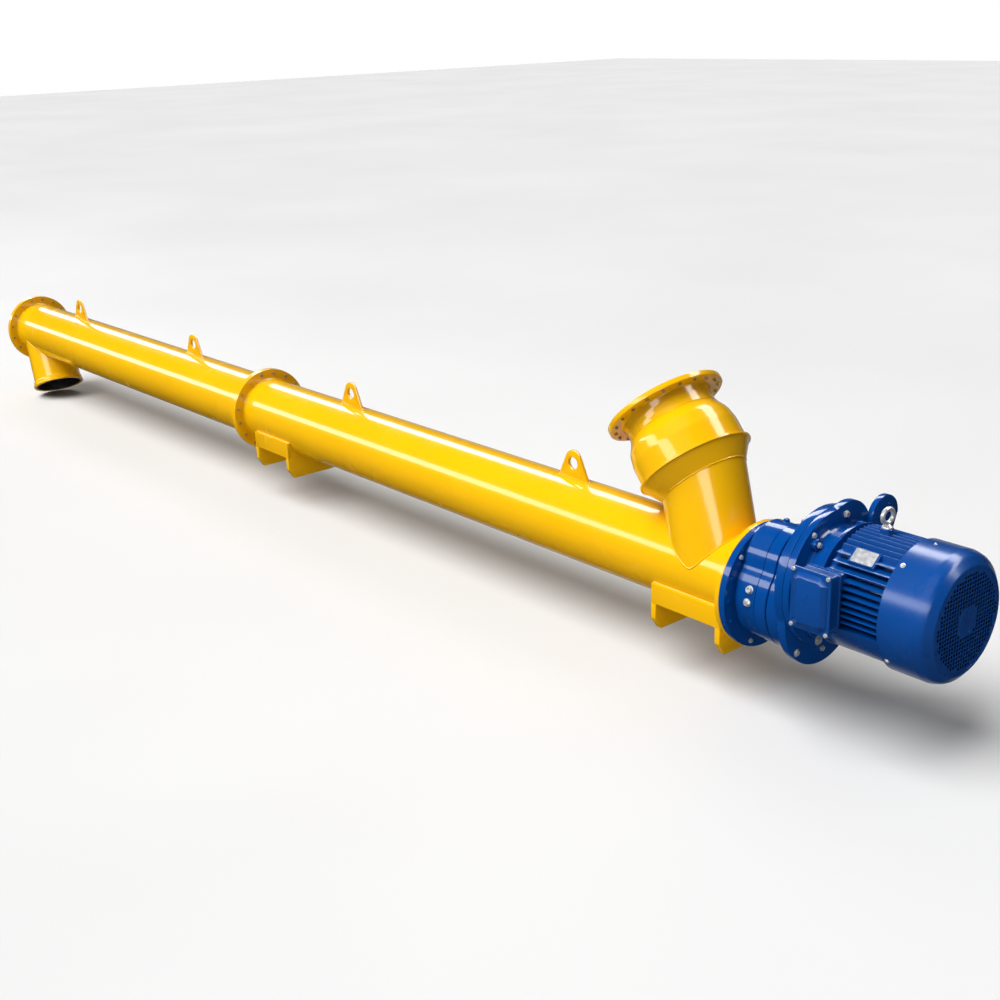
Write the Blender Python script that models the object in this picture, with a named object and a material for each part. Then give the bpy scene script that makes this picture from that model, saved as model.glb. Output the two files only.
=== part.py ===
"""Tubular screw conveyor with a flanged inlet, a spout, two saddles and a geared motor drive.

The tube lies along X: outlet at low x, drive at high x. Lengths are in metres and angles in radians.
Stations are measured from the outlet flange's outer face, heights from the tube's axis. One empty
carries every piece, and its origin is the middle of the drive saddle's foot on the motor's side.
"""

import math

import bmesh
import bpy
from mathutils import Matrix, Vector

# Clearance between pieces that touch, and facets round the large round pieces
GAP = 0.0003
HALF_GAP = GAP / 2
FACETS = 48
SMALL_FACETS = 24

# Conveyor tube
TUBE_R = 0.1365
WALL = 0.005
JOINT_X = 2.465
DRIVE_X = 5.230

# Flanges on the tube
FLANGE_R = 0.179
FLANGE_T = 0.014
DRIVE_FLANGE_R = 0.192
DRIVE_FLANGE_T = 0.016
END_PLATE_T = 0.012

# Bearing housing on the closed end
BEARING_FOOT_R = 0.072
BEARING_FOOT_T = 0.014
BEARING_R = 0.052
BEARING_LENGTH = 0.076
BEARING_CHAMFER = 0.006

# Both pipes are turned a little about the tube's axis: inlet to the far side, spout to the near side
PIPE_TURN = math.radians(6)

# The hole in the tube's wall is this much smaller than the inside of the pipe over it
THROAT_STEP = 0.004

# Outlet spout
SPOUT_X = 0.090
SPOUT_LEAN = math.radians(27)
SPOUT_R = 0.125
SPOUT_LENGTH = 0.322
COLLAR_R = 0.134
COLLAR_HEIGHT = 0.030
COLLAR_STEP = 0.004
COLLAR_FLARE = 0.008
COLLAR_TAPER = 0.002
LINER_R = 0.110
LINER_DEPTH = 0.085
LINER_SET_BACK = 0.002

# Inlet: a leaning pipe, then a stack of turned pieces that leans further
INLET_X = 5.065
INLET_LEAN = math.radians(19)
INLET_PIPE_R = 0.135
INLET_PIPE_LENGTH = 0.270
STACK_LEAN = math.radians(43)
CONE_HEIGHT = 0.060
CONE_HIGH_R = 0.181
SEAM_R = 0.187
SEAM_INNER_R = 0.170
SEAM_HALF = 0.0035

# Outside of the rounded shell and of the neck: radius, and height above the seam ring's middle
SHELL_LINE = ((0.177, 0.0038), (0.177, 0.070), (0.169, 0.110), (0.1485, 0.146))
NECK_LINE = ((0.1485, 0.1463), (0.146, 0.160), (0.150, 0.202))
TOP_FLANGE_R = 0.194
TOP_FLANGE_INNER_R = 0.143
TOP_FLANGE_T = 0.017

# Lifting lugs on the crown of the tube
LUG_STATIONS = (0.595, 1.830, 3.125, 4.425)
LUG_HALF_BASE = 0.071
LUG_HEIGHT = 0.101
LUG_TIP_R = 0.035
LUG_T = 0.012
LUG_HOLE_R = 0.022
LUG_HOLE_DROP = 0.011

# Saddles
SADDLE_HALF = 0.137
SADDLE_TOP = -0.056
SADDLE_FOOT = -0.213
SADDLE_CHAMFER = (0.026, 0.040)
SADDLE_PLATE_T = 0.020
STRIP_T = 0.012
STRIP_HEIGHT = 0.066
MID_SADDLE_X = (2.562, 2.822)
DRIVE_SADDLE_X = (4.912, 5.192)

# Screw inside the tube
SHAFT_R = 0.038
FLIGHT_INNER_R = 0.0395
FLIGHT_R = 0.1255
FLIGHT_PITCH = 0.250
FLIGHT_T = 0.005
FLIGHT_STEPS = 12
FLIGHT_START = 0.120
FLIGHT_TURNS = 20

# Gear unit: stations here and below are measured from the drive flange
MOTOR_Z = 0.095
MOUNT_T = 0.022
GEAR_LOW_R = 0.150
GEAR_HIGH_R = 0.112
GEAR_FRONT_END = 0.098
GEAR_RING_END = 0.142
GEAR_REAR_END = 0.208
GEAR_RING_STEP = 0.004
GEAR_REAR_FLARE = 0.013
REAR_FLANGE_END = 0.236
LOBED_END = 0.259

# Circles that bound the two large flanges: y, z and radius
MOTOR_CIRCLE = (0.0, MOTOR_Z, 0.204)
SCREW_CIRCLE = (-0.010, 0.0, 0.174)
TOP_LOBE = (0.052, 0.200, 0.110)

# Ear in front of the lobed flange
EAR_START = 0.255
EAR_END = 0.275
EAR_CENTRE = (0.207, 0.229)
EAR_R = 0.064
EAR_SIDE_LOW = 0.168
EAR_FOOT_Z = 0.105
EAR_FOOT_Y = (0.190, 0.2235)

# Motor
BELL_END = 0.330
BELL_LINE = ((0.158, 0.2593), (0.150, 0.268), (0.150, 0.308), (0.171, 0.317), (0.177, 0.322), (0.177, 0.330))
FRAME_END = 0.545
CORE_R = 0.150
FIN_TIP_R = 0.178
TOP_FINS = range(-5, 6)
TOP_FIN_PITCH = 0.0180
SIDE_FINS = range(-4, 6)
SIDE_FIN_PITCH = 0.0187
SIDE_FIN_MIDDLE = 0.0405
SHELF_ROOT = 0.098
FIN_ROOT_HALF = 0.0026
FIN_TIP_HALF = 0.0018
BELLY_R = 0.175
BELLY_HALF_ANGLE = math.radians(72)
SHIELD_END = 0.560
COVER_R = 0.186
COVER_END = 0.679
COVER_FACE_R = 0.153
COVER_LINE = ((COVER_R, 0.530), (COVER_R, 0.635), (0.179, 0.659), (COVER_FACE_R, COVER_END))
COVER_WALL = 0.003
GRILLE_T = 0.004

# Terminal box on the motor's near side
BOX_X = (0.298, 0.412)
BOX_Z = (0.042, 0.204)
BOX_ROOT_Y = -0.180
BOX_FACE_Y = -0.231
PAD_X = (0.334, 0.399)
PAD_ROOT_Y = -0.090
PAD_MARGIN = 0.013
LID_MARGIN = 0.008
LID_RIM_T = 0.008
LID_FACE_Y = -0.252
LID_BEVEL = 0.018

# Eye bolt on its boss
EYE_X = 0.420
EYE_BOSS_R = 0.018
EYE_BOSS_TOP = 0.1925
EYE_COLLAR_R = 0.015
EYE_COLLAR_T = 0.010
EYE_RING_R = 0.0202
EYE_WIRE_R = 0.0066
EYE_TURN = math.radians(8)

# Finishes: base colour, roughness and metallic value
YELLOW = ((0.95, 0.56, 0.01), 0.25, 0.0)
BLUE = ((0.01, 0.07, 0.38), 0.28, 0.0)
BLACK = ((0.015, 0.015, 0.016), 0.7, 0.0)
STEEL = ((0.45, 0.44, 0.42), 0.4, 1.0)
ZINC = ((0.75, 0.75, 0.73), 0.3, 1.0)

# Tilts about Y that turn a piece's own Z axis to the way it points
ALONG_TUBE = math.pi / 2
UPRIGHT = 0.0
UP_INLET = -INLET_LEAN
UP_STACK = -STACK_LEAN
DOWN_SPOUT = math.pi - SPOUT_LEAN


def clear_scene():
    """Remove every object, so that the scene holds only the conveyor."""
    for item in list(bpy.data.objects):
        bpy.data.objects.remove(item, do_unlink=True)


def make_origin():
    """The empty that carries every piece and puts the drive saddle's foot at the origin."""
    origin = bpy.data.objects.new("conveyor_origin", None)
    origin.location = (SADDLE_PLATE_T / 2 - DRIVE_SADDLE_X[1], 0.0, -SADDLE_FOOT)
    bpy.context.scene.collection.objects.link(origin)
    return origin


def finish(name, values):
    """A painted or metal surface for one piece."""
    colour, roughness, metallic = values
    material = bpy.data.materials.new(name)
    material.use_nodes = True
    shader = material.node_tree.nodes["Principled BSDF"]
    shader.inputs["Base Color"].default_value = (*colour, 1.0)
    shader.inputs["Roughness"].default_value = roughness
    shader.inputs["Metallic"].default_value = metallic
    return material


def add_piece(name, shape, values, location=(0.0, 0.0, 0.0), tilt=UPRIGHT, turn=0.0):
    """Turn a bmesh into a named piece on the origin empty, tilted about Y and then turned about X."""
    bmesh.ops.recalc_face_normals(shape, faces=shape.faces)
    mesh = bpy.data.meshes.new(name)
    shape.to_mesh(mesh)
    shape.free()
    mesh.shade_smooth()
    mesh.set_sharp_from_angle(angle=math.radians(32))
    piece = bpy.data.objects.new(name, mesh)
    piece.data.materials.append(finish(name, values))
    piece.parent = ORIGIN
    piece.matrix_basis = (Matrix.Translation(location) @ Matrix.Rotation(turn, 4, "X")
                          @ Matrix.Rotation(tilt, 4, "Y"))
    bpy.context.scene.collection.objects.link(piece)
    return piece


def make_guide(piece):
    """Mark a piece as a cutter or a shape that is only joined to others."""
    piece.hide_render = True
    piece.display_type = "WIRE"
    return piece


def combine(piece, other, operation):
    """Cut another shape from a piece, or join it on."""
    change = piece.modifiers.new(operation.lower(), "BOOLEAN")
    change.operation = operation
    change.solver = "EXACT"
    change.object = other


def turned_shape(profile, facets=FACETS):
    """Turn a closed profile about Z. A point is radius, height and perhaps slope and stretch in x."""
    shape = bmesh.new()
    rings = []
    for radius, height, *in_x in profile:
        slope = in_x[0] if in_x else 0.0
        stretch = in_x[1] if len(in_x) > 1 else 1.0
        count = facets if radius > 0.0 else 1
        ring = []
        for step in range(count):
            angle = 2 * math.pi * step / facets
            x = radius * math.cos(angle) * stretch
            ring.append(shape.verts.new((x, radius * math.sin(angle), height + slope * x)))
        rings.append(ring)
    for low, high in zip(rings, rings[1:] + rings[:1]):
        if len(low) == 1 and len(high) == 1:
            continue
        for step in range(facets):
            after = (step + 1) % facets
            corners = [low[step % len(low)], low[after % len(low)]]
            corners += [high[after % len(high)], high[step % len(high)]]
            shape.faces.new(list(dict.fromkeys(corners)))
    return shape


def ring_profile(inner, outer, low, high):
    """Profile of a plain ring."""
    return [(inner, low), (outer, low), (outer, high), (inner, high)]


def disc_profile(outer, low, high):
    """Profile of a plain disc."""
    return [(0.0, low), (outer, low), (outer, high), (0.0, high)]


def shell_profile(outside, wall):
    """Close an outer line of radius and height points with an inner line one wall further in."""
    return list(outside) + [(radius - wall, height) for radius, height in reversed(outside)]


def slab_shape(outline, low, high, normal):
    """Extrude an outline of (u, z) points. u is y on a plate across the tube, x on one along it."""
    shape = bmesh.new()
    ends = []
    for place in (low, high):
        if normal == "X":
            corners = [(place, u, z) for u, z in outline]
        else:
            corners = [(u, place, z) for u, z in outline]
        ends.append([shape.verts.new(corner) for corner in corners])
    for end in ends:
        shape.faces.new(end)
    count = len(outline)
    for step in range(count):
        after = (step + 1) % count
        shape.faces.new((ends[0][step], ends[0][after], ends[1][after], ends[1][step]))
    return shape


def box_shape(low, high):
    """A block between two corners."""
    outline = [(low[0], low[2]), (high[0], low[2]), (high[0], high[2]), (low[0], high[2])]
    return slab_shape(outline, low[1], high[1], "Y")


def arc(centre, radius, start, stop, steps):
    """Points along an arc, from one angle to another."""
    points = []
    for step in range(steps + 1):
        angle = start + (stop - start) * step / steps
        points.append((centre[0] + radius * math.cos(angle), centre[1] + radius * math.sin(angle)))
    return points


def make_tube_clearance():
    """The space that the tube takes, used to shape everything that is welded to it."""
    profile = disc_profile(TUBE_R + GAP, -0.1, DRIVE_X)
    return make_guide(add_piece("tube_clearance", turned_shape(profile), YELLOW, tilt=ALONG_TUBE))


def add_pipe_piece(name, shape, values, location, tilt):
    """A piece of the inlet or the spout, with the turn about the tube that both share."""
    return add_piece(name, shape, values, location, tilt, -PIPE_TURN)


def make_throat(name, x, tilt, radius, length):
    """The round way through the tube's wall under a pipe."""
    shape = turned_shape(disc_profile(radius, 0.0, length))
    return make_guide(add_pipe_piece(name, shape, YELLOW, (x, 0.0, 0.0), tilt))


def make_tube():
    """Two tube sections, each with one opening, and the flanges round them."""
    inner = TUBE_R - WALL
    sections = (
        ("tube_outlet_section", 0.0, JOINT_X - HALF_GAP,
         make_throat("spout_throat", SPOUT_X, DOWN_SPOUT, SPOUT_R - WALL - THROAT_STEP,
                     SPOUT_LENGTH)),
        ("tube_inlet_section", JOINT_X + HALF_GAP, DRIVE_X - HALF_GAP,
         make_throat("inlet_throat", INLET_X, UP_INLET, INLET_PIPE_R - WALL - THROAT_STEP,
                     INLET_PIPE_LENGTH)),
    )
    for name, low, high, throat in sections:
        shape = turned_shape(ring_profile(inner, TUBE_R, low, high))
        tube = add_piece(name, shape, YELLOW, tilt=ALONG_TUBE)
        combine(tube, throat, "DIFFERENCE")
    flanges = (
        ("outlet_flange", FLANGE_R, 0.0, FLANGE_T),
        ("joint_flange_outlet_side", FLANGE_R, JOINT_X - HALF_GAP - FLANGE_T, JOINT_X - HALF_GAP),
        ("joint_flange_inlet_side", FLANGE_R, JOINT_X + HALF_GAP, JOINT_X + HALF_GAP + FLANGE_T),
        ("drive_flange", DRIVE_FLANGE_R, DRIVE_X - HALF_GAP - DRIVE_FLANGE_T, DRIVE_X - HALF_GAP),
    )
    for name, radius, low, high in flanges:
        shape = turned_shape(ring_profile(TUBE_R + GAP, radius, low, high))
        add_piece(name, shape, YELLOW, tilt=ALONG_TUBE)


def make_closed_end():
    """End plate on the outlet flange, with the screw's bearing housing outside it."""
    shape = turned_shape(disc_profile(FLANGE_R, -GAP - END_PLATE_T, -GAP))
    add_piece("outlet_end_plate", shape, YELLOW, tilt=ALONG_TUBE)
    foot = -2 * GAP - END_PLATE_T
    step = foot - BEARING_FOOT_T
    cap = step - BEARING_LENGTH
    profile = [(0.0, cap), (BEARING_R - BEARING_CHAMFER, cap), (BEARING_R, cap + BEARING_CHAMFER)]
    profile += [(BEARING_R, step)]
    profile += [(BEARING_FOOT_R, step), (BEARING_FOOT_R, foot), (0.0, foot)]
    add_piece("end_bearing_housing", turned_shape(profile, SMALL_FACETS), YELLOW, tilt=ALONG_TUBE)


def make_spout(clearance):
    """Leaning outlet pipe with a flared collar and a dark liner in its mouth."""
    spot = (SPOUT_X, 0.0, 0.0)
    end = SPOUT_LENGTH
    inner = SPOUT_R - WALL
    shape = turned_shape(ring_profile(inner, SPOUT_R, 0.0, end))
    pipe = add_pipe_piece("outlet_spout", shape, YELLOW, spot, DOWN_SPOUT)
    combine(pipe, clearance, "DIFFERENCE")
    top = end - COLLAR_HEIGHT
    profile = [(SPOUT_R + GAP, top), (SPOUT_R + COLLAR_STEP, top)]
    profile += [(COLLAR_R - COLLAR_TAPER, top + COLLAR_FLARE), (COLLAR_R, end), (SPOUT_R + GAP, end)]
    add_pipe_piece("outlet_spout_collar", turned_shape(profile), YELLOW, spot, DOWN_SPOUT)
    profile = ring_profile(LINER_R, inner - GAP, end - LINER_DEPTH, end - LINER_SET_BACK)
    add_pipe_piece("outlet_spout_liner", turned_shape(profile), BLACK, spot, DOWN_SPOUT)


def stack_base():
    """Centre of the cut where the leaning inlet pipe meets the stack above it."""
    rise = INLET_PIPE_LENGTH * math.cos(INLET_LEAN)
    return (INLET_X - INLET_PIPE_LENGTH * math.sin(INLET_LEAN), rise * math.sin(PIPE_TURN),
            rise * math.cos(PIPE_TURN))


def make_inlet(clearance):
    """Leaning pipe, cone, seam ring, rounded shell, neck and top flange."""
    inner = INLET_PIPE_R - WALL
    bend = STACK_LEAN - INLET_LEAN
    mitre = math.tan(bend)
    stretch = 1 / math.cos(bend)
    top = INLET_PIPE_LENGTH - GAP * stretch
    profile = [(inner, 0.0), (INLET_PIPE_R, 0.0), (INLET_PIPE_R, top, mitre), (inner, top, mitre)]
    pipe = add_pipe_piece("inlet_lower_pipe", turned_shape(profile), YELLOW, (INLET_X, 0.0, 0.0), UP_INLET)
    combine(pipe, clearance, "DIFFERENCE")
    seam = CONE_HEIGHT
    cone_top = seam - SEAM_HALF - GAP
    cone = [(INLET_PIPE_R, 0.0, 0.0, stretch), (CONE_HIGH_R, cone_top)]
    cone += [(CONE_HIGH_R - WALL, cone_top), (inner, 0.0, 0.0, stretch)]
    shell = [(radius, seam + height) for radius, height in SHELL_LINE]
    neck = [(radius, seam + height) for radius, height in NECK_LINE]
    rim = neck[-1][1] + GAP
    stack = (
        ("inlet_cone", cone),
        ("inlet_seam_ring", ring_profile(SEAM_INNER_R, SEAM_R, seam - SEAM_HALF, seam + SEAM_HALF)),
        ("inlet_shell", shell_profile(shell, WALL)),
        ("inlet_neck", shell_profile(neck, WALL)),
        ("inlet_top_flange", ring_profile(TOP_FLANGE_INNER_R, TOP_FLANGE_R, rim, rim + TOP_FLANGE_T)),
    )
    for name, profile in stack:
        add_pipe_piece(name, turned_shape(profile), YELLOW, stack_base(), UP_STACK)


def lug_outline():
    """A tapered plate whose straight sides meet its round tip without a corner."""
    base = TUBE_R + GAP
    centre = base + LUG_HEIGHT - LUG_TIP_R
    drop = centre - base
    reach = math.hypot(LUG_HALF_BASE, drop)
    tangent = math.atan2(-drop, LUG_HALF_BASE) + math.acos(LUG_TIP_R / reach)
    points = [(-LUG_HALF_BASE, base), (LUG_HALF_BASE, base)]
    points += arc((0.0, centre), LUG_TIP_R, tangent, math.pi - tangent, 12)
    return points, centre


def make_lugs():
    """Lifting lugs along the crown, each with one round hole."""
    outline, centre = lug_outline()
    for number, x in enumerate(LUG_STATIONS, start=1):
        shape = slab_shape(outline, -LUG_T / 2, LUG_T / 2, "Y")
        lug = add_piece(f"lifting_lug_{number}", shape, YELLOW, (x, 0.0, 0.0))
        hole = arc((0.0, centre - LUG_HOLE_DROP), LUG_HOLE_R, 0.0, 2 * math.pi, 20)[:-1]
        cutter = add_piece(f"lug_hole_{number}", slab_shape(hole, -LUG_T, LUG_T, "Y"), YELLOW, (x, 0.0, 0.0))
        combine(lug, make_guide(cutter), "DIFFERENCE")


def make_saddle(name, low_x, high_x, clearance):
    """Two plates across the tube, cut to cradle it, and a strip along each side."""
    side, rise = SADDLE_CHAMFER
    inner = SADDLE_HALF - STRIP_T - GAP
    strip_low = SADDLE_TOP - STRIP_HEIGHT
    outline = [(-SADDLE_HALF + side, SADDLE_FOOT), (SADDLE_HALF - side, SADDLE_FOOT)]
    outline += [(SADDLE_HALF, SADDLE_FOOT + rise), (SADDLE_HALF, strip_low - GAP)]
    outline += [(inner, strip_low - GAP), (inner, SADDLE_TOP), (-inner, SADDLE_TOP)]
    outline += [(-inner, strip_low - GAP), (-SADDLE_HALF, strip_low - GAP)]
    outline += [(-SADDLE_HALF, SADDLE_FOOT + rise)]
    for number, x in enumerate((low_x, high_x - SADDLE_PLATE_T), start=1):
        plate = add_piece(f"{name}_plate_{number}", slab_shape(outline, x, x + SADDLE_PLATE_T, "X"), YELLOW)
        combine(plate, clearance, "DIFFERENCE")
    for label, way in (("near", -1.0), ("far", 1.0)):
        sides = sorted((way * SADDLE_HALF, way * (SADDLE_HALF - STRIP_T)))
        shape = box_shape((low_x, sides[0], strip_low), (high_x, sides[1], SADDLE_TOP))
        add_piece(f"{name}_strip_{label}", shape, YELLOW)


def make_screw():
    """Shaft and helical flight, carried between the end plate and the gear unit."""
    shape = turned_shape(disc_profile(SHAFT_R, 0.0, DRIVE_X - HALF_GAP), SMALL_FACETS)
    add_piece("screw_shaft", shape, STEEL, tilt=ALONG_TUBE)
    shape = bmesh.new()
    rows = []
    for step in range(FLIGHT_TURNS * FLIGHT_STEPS + 1):
        angle = 2 * math.pi * step / FLIGHT_STEPS
        x = FLIGHT_START + FLIGHT_PITCH * step / FLIGHT_STEPS
        across = Vector((0.0, math.cos(angle), math.sin(angle)))
        row = []
        for radius, side in ((FLIGHT_INNER_R, -1), (FLIGHT_R, -1), (FLIGHT_R, 1), (FLIGHT_INNER_R, 1)):
            row.append(shape.verts.new(across * radius + Vector((x + side * FLIGHT_T / 2, 0.0, 0.0))))
        rows.append(row)
    for row, ahead in zip(rows, rows[1:]):
        for corner in range(4):
            after = (corner + 1) % 4
            shape.faces.new((row[corner], row[after], ahead[after], ahead[corner]))
    shape.faces.new(rows[0])
    shape.faces.new(rows[-1])
    add_piece("screw_flight", shape, STEEL)


def gear_outline(grow):
    """Two round housings, one on the screw's axis and one on the motor's, as one outline."""
    low_r = GEAR_LOW_R + grow
    high_r = GEAR_HIGH_R + grow
    crease = (low_r ** 2 - high_r ** 2 + MOTOR_Z ** 2) / (2 * MOTOR_Z)
    half = math.sqrt(low_r ** 2 - crease ** 2)
    low_start = math.atan2(crease, -half)
    low_stop = math.atan2(crease, half) + 2 * math.pi
    high_start = math.atan2(crease - MOTOR_Z, half)
    high_stop = math.atan2(crease - MOTOR_Z, -half) % (2 * math.pi)
    points = arc((0.0, 0.0), low_r, low_start, low_stop, 28)
    points += arc((0.0, MOTOR_Z), high_r, high_start, high_stop, 18)[1:-1]
    return points


def lobed_outline(lobe):
    """Outline of the circle round the motor's axis, pushed out where the lobe's circle reaches further."""
    points = []
    steps = 96
    middle = Vector(MOTOR_CIRCLE[:2])
    centre = Vector(lobe[:2]) - middle
    for step in range(steps):
        angle = 2 * math.pi * step / steps
        way = Vector((math.cos(angle), math.sin(angle)))
        reach = MOTOR_CIRCLE[2]
        along = centre.dot(way)
        spare = lobe[2] ** 2 - centre.length_squared + along ** 2
        if spare > 0.0:
            reach = max(reach, along + math.sqrt(spare))
        points.append(tuple(middle + reach * way))
    return points


def make_gear_unit():
    """Mounting flange, three housings, the rear flange and the lobed flange against it."""
    at = DRIVE_X + HALF_GAP
    shape = turned_shape(disc_profile(DRIVE_FLANGE_R, at, DRIVE_X + MOUNT_T))
    add_piece("gearbox_mounting_flange", shape, BLUE, tilt=ALONG_TUBE)
    housings = (
        ("gearbox_front_housing", MOUNT_T, GEAR_FRONT_END, 0.0),
        ("gearbox_ring", GEAR_FRONT_END, GEAR_RING_END, GEAR_RING_STEP),
        ("gearbox_rear_housing", GEAR_RING_END, GEAR_REAR_END, GEAR_RING_STEP),
    )
    for name, low, high, grow in housings:
        shape = slab_shape(gear_outline(grow), DRIVE_X + low + GAP, DRIVE_X + high, "X")
        if name == "gearbox_rear_housing":
            flare_far_end(shape, DRIVE_X + high)
        add_piece(name, shape, BLUE)
    low = DRIVE_X + GEAR_REAR_END + GAP
    shape = slab_shape(lobed_outline(SCREW_CIRCLE), low, DRIVE_X + REAR_FLANGE_END, "X")
    add_piece("gearbox_rear_flange", shape, BLUE)
    low = DRIVE_X + REAR_FLANGE_END + GAP
    shape = slab_shape(lobed_outline(TOP_LOBE), low, DRIVE_X + LOBED_END, "X")
    lobed = add_piece("lobed_adapter_flange", shape, BLUE)
    shape = slab_shape(ear_outline(), DRIVE_X + EAR_START, DRIVE_X + EAR_END, "X")
    combine(lobed, make_guide(add_piece("adapter_ear", shape, BLUE)), "UNION")


def flare_far_end(shape, x):
    """Widen the end of a housing that meets the rear flange."""
    for corner in shape.verts:
        if corner.co.x > x - GAP:
            across = Vector((0.0, corner.co.y, corner.co.z - MOTOR_Z / 2))
            corner.co += across.normalized() * GEAR_REAR_FLARE


def ear_outline():
    """Upright round-topped ear that narrows to a foot on the lobed flange, clear of the bell."""
    points = [(EAR_CENTRE[0] - EAR_R, EAR_SIDE_LOW)]
    points += [(y, EAR_FOOT_Z) for y in EAR_FOOT_Y]
    points += arc(EAR_CENTRE, EAR_R, 0.0, math.pi, 16)
    return points


def make_bell():
    """Smooth drum between the lobed flange and the motor's fins."""
    profile = [(0.0, BELL_LINE[0][1]), *BELL_LINE, (0.0, BELL_END)]
    add_piece("motor_adapter_bell", turned_shape(profile), BLUE, (DRIVE_X, 0.0, MOTOR_Z), ALONG_TUBE)


def fin_corners(offset, least_root=0.0):
    """One fin's four corners: place along the row, and distance from the motor's axis across it."""
    root = max(math.sqrt(max(CORE_R ** 2 - offset ** 2, 0.0)), least_root)
    tip = math.sqrt(FIN_TIP_R ** 2 - offset ** 2)
    return [(offset - FIN_ROOT_HALF, root), (offset - FIN_TIP_HALF, tip),
            (offset + FIN_TIP_HALF, tip), (offset + FIN_ROOT_HALF, root)]


def fin_outline():
    """Motor frame across its axis: level fins at the sides, upright fins on top and a smooth belly.

    The highest level fin is the edge of a shelf that runs in to the outermost upright fin.
    """
    sides = [fin_corners(SIDE_FIN_MIDDLE + number * SIDE_FIN_PITCH, SHELF_ROOT * (number == SIDE_FINS[-1]))
             for number in SIDE_FINS]
    tops = [fin_corners(number * TOP_FIN_PITCH) for number in TOP_FINS]
    shelf = sides[-1][3][0]
    sides[-1][3] = (shelf, tops[-1][3][0])
    tops[0] = tops[0][1:]
    tops[-1] = tops[-1][:3]
    points = []
    for fin in sides:
        points += [(reach, MOTOR_Z + height) for height, reach in fin]
    for fin in reversed(tops):
        points += [(y, MOTOR_Z + height) for y, height in reversed(fin)]
    for fin in reversed(sides):
        points += [(-reach, MOTOR_Z + height) for height, reach in reversed(fin)]
    down = -math.pi / 2
    points += arc((0.0, MOTOR_Z), BELLY_R, down - BELLY_HALF_ANGLE, down + BELLY_HALF_ANGLE, 14)
    return points


def make_motor():
    """Finned frame, rear shield, fan cover and grille."""
    start = DRIVE_X + BELL_END + GAP
    frame = add_piece("motor_frame", slab_shape(fin_outline(), start, DRIVE_X + FRAME_END, "X"), BLUE)
    low = (DRIVE_X + PAD_X[0], BOX_ROOT_Y + GAP, BOX_Z[0] + PAD_MARGIN)
    high = (DRIVE_X + PAD_X[1], PAD_ROOT_Y, BOX_Z[1] - PAD_MARGIN)
    pad = make_guide(add_piece("terminal_box_pad", box_shape(low, high), BLUE))
    combine(frame, pad, "UNION")
    profile = disc_profile(EYE_BOSS_R, 0.0, EYE_BOSS_TOP - GAP)
    boss = turned_shape(profile, SMALL_FACETS)
    boss = make_guide(add_piece("eye_boss", boss, BLUE, (DRIVE_X + EYE_X, 0.0, MOTOR_Z)))
    combine(frame, boss, "UNION")
    spot = (DRIVE_X, 0.0, MOTOR_Z)
    inside = COVER_R - COVER_WALL - GAP
    profile = disc_profile(inside, FRAME_END + GAP, SHIELD_END)
    add_piece("motor_rear_shield", turned_shape(profile), BLUE, spot, ALONG_TUBE)
    add_piece("fan_cover", turned_shape(shell_profile(COVER_LINE, COVER_WALL)), BLUE, spot, ALONG_TUBE)
    profile = disc_profile(COVER_FACE_R, COVER_END + GAP, COVER_END + GRILLE_T)
    add_piece("fan_grille", turned_shape(profile), BLUE, spot, ALONG_TUBE)


def make_terminal_box():
    """Box on the motor's near side, and its lid with a raised bevelled panel."""
    low = (DRIVE_X + BOX_X[0], BOX_FACE_Y + GAP, BOX_Z[0])
    high = (DRIVE_X + BOX_X[1], BOX_ROOT_Y, BOX_Z[1])
    add_piece("terminal_box", box_shape(low, high), BLUE)
    low = (low[0] - LID_MARGIN, BOX_FACE_Y - LID_RIM_T, low[2] - LID_MARGIN)
    high = (high[0] + LID_MARGIN, BOX_FACE_Y, high[2] + LID_MARGIN)
    lid = box_shape(low, high)
    front = min(lid.faces, key=lambda face: face.calc_center_median().y)
    bmesh.ops.recalc_face_normals(lid, faces=lid.faces)
    bmesh.ops.inset_region(lid, faces=[front], thickness=LID_BEVEL / 2)
    bmesh.ops.inset_region(lid, faces=[front], thickness=LID_BEVEL)
    for corner in front.verts:
        corner.co.y = LID_FACE_Y
    add_piece("terminal_box_lid", lid, BLUE)


def make_eye_bolt():
    """Lifting eye: a round ring standing on a collar."""
    top = MOTOR_Z + EYE_BOSS_TOP
    profile = disc_profile(EYE_COLLAR_R, 0.0, EYE_COLLAR_T)
    bolt = add_piece("eye_bolt", turned_shape(profile, SMALL_FACETS), ZINC, (DRIVE_X + EYE_X, 0.0, top))
    ring = bmesh.new()
    rows = []
    steps = 24
    around = 8
    for step in range(steps):
        angle = 2 * math.pi * step / steps
        way = Vector((0.0, math.cos(angle), math.sin(angle)))
        row = []
        for turn in range(around):
            tilt = 2 * math.pi * turn / around
            spot = way * (EYE_RING_R + EYE_WIRE_R * math.cos(tilt))
            row.append(ring.verts.new(spot + Vector((EYE_WIRE_R * math.sin(tilt), 0.0, 0.0))))
        rows.append(row)
    for row, ahead in zip(rows, rows[1:] + rows[:1]):
        for turn in range(around):
            after = (turn + 1) % around
            ring.faces.new((row[turn], row[after], ahead[after], ahead[turn]))
    height = top + EYE_COLLAR_T + EYE_RING_R + EYE_WIRE_R / 2
    loop = add_piece("eye_loop", ring, ZINC, (DRIVE_X + EYE_X, 0.0, height))
    loop.rotation_euler.z = -EYE_TURN
    combine(bolt, make_guide(loop), "UNION")


clear_scene()
ORIGIN = make_origin()
tube_clearance = make_tube_clearance()
make_tube()
make_closed_end()
make_spout(tube_clearance)
make_inlet(tube_clearance)
make_lugs()
make_saddle("mid_saddle", *MID_SADDLE_X, tube_clearance)
make_saddle("drive_saddle", *DRIVE_SADDLE_X, tube_clearance)
make_screw()
make_gear_unit()
make_bell()
make_motor()
make_terminal_box()
make_eye_bolt()
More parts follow.
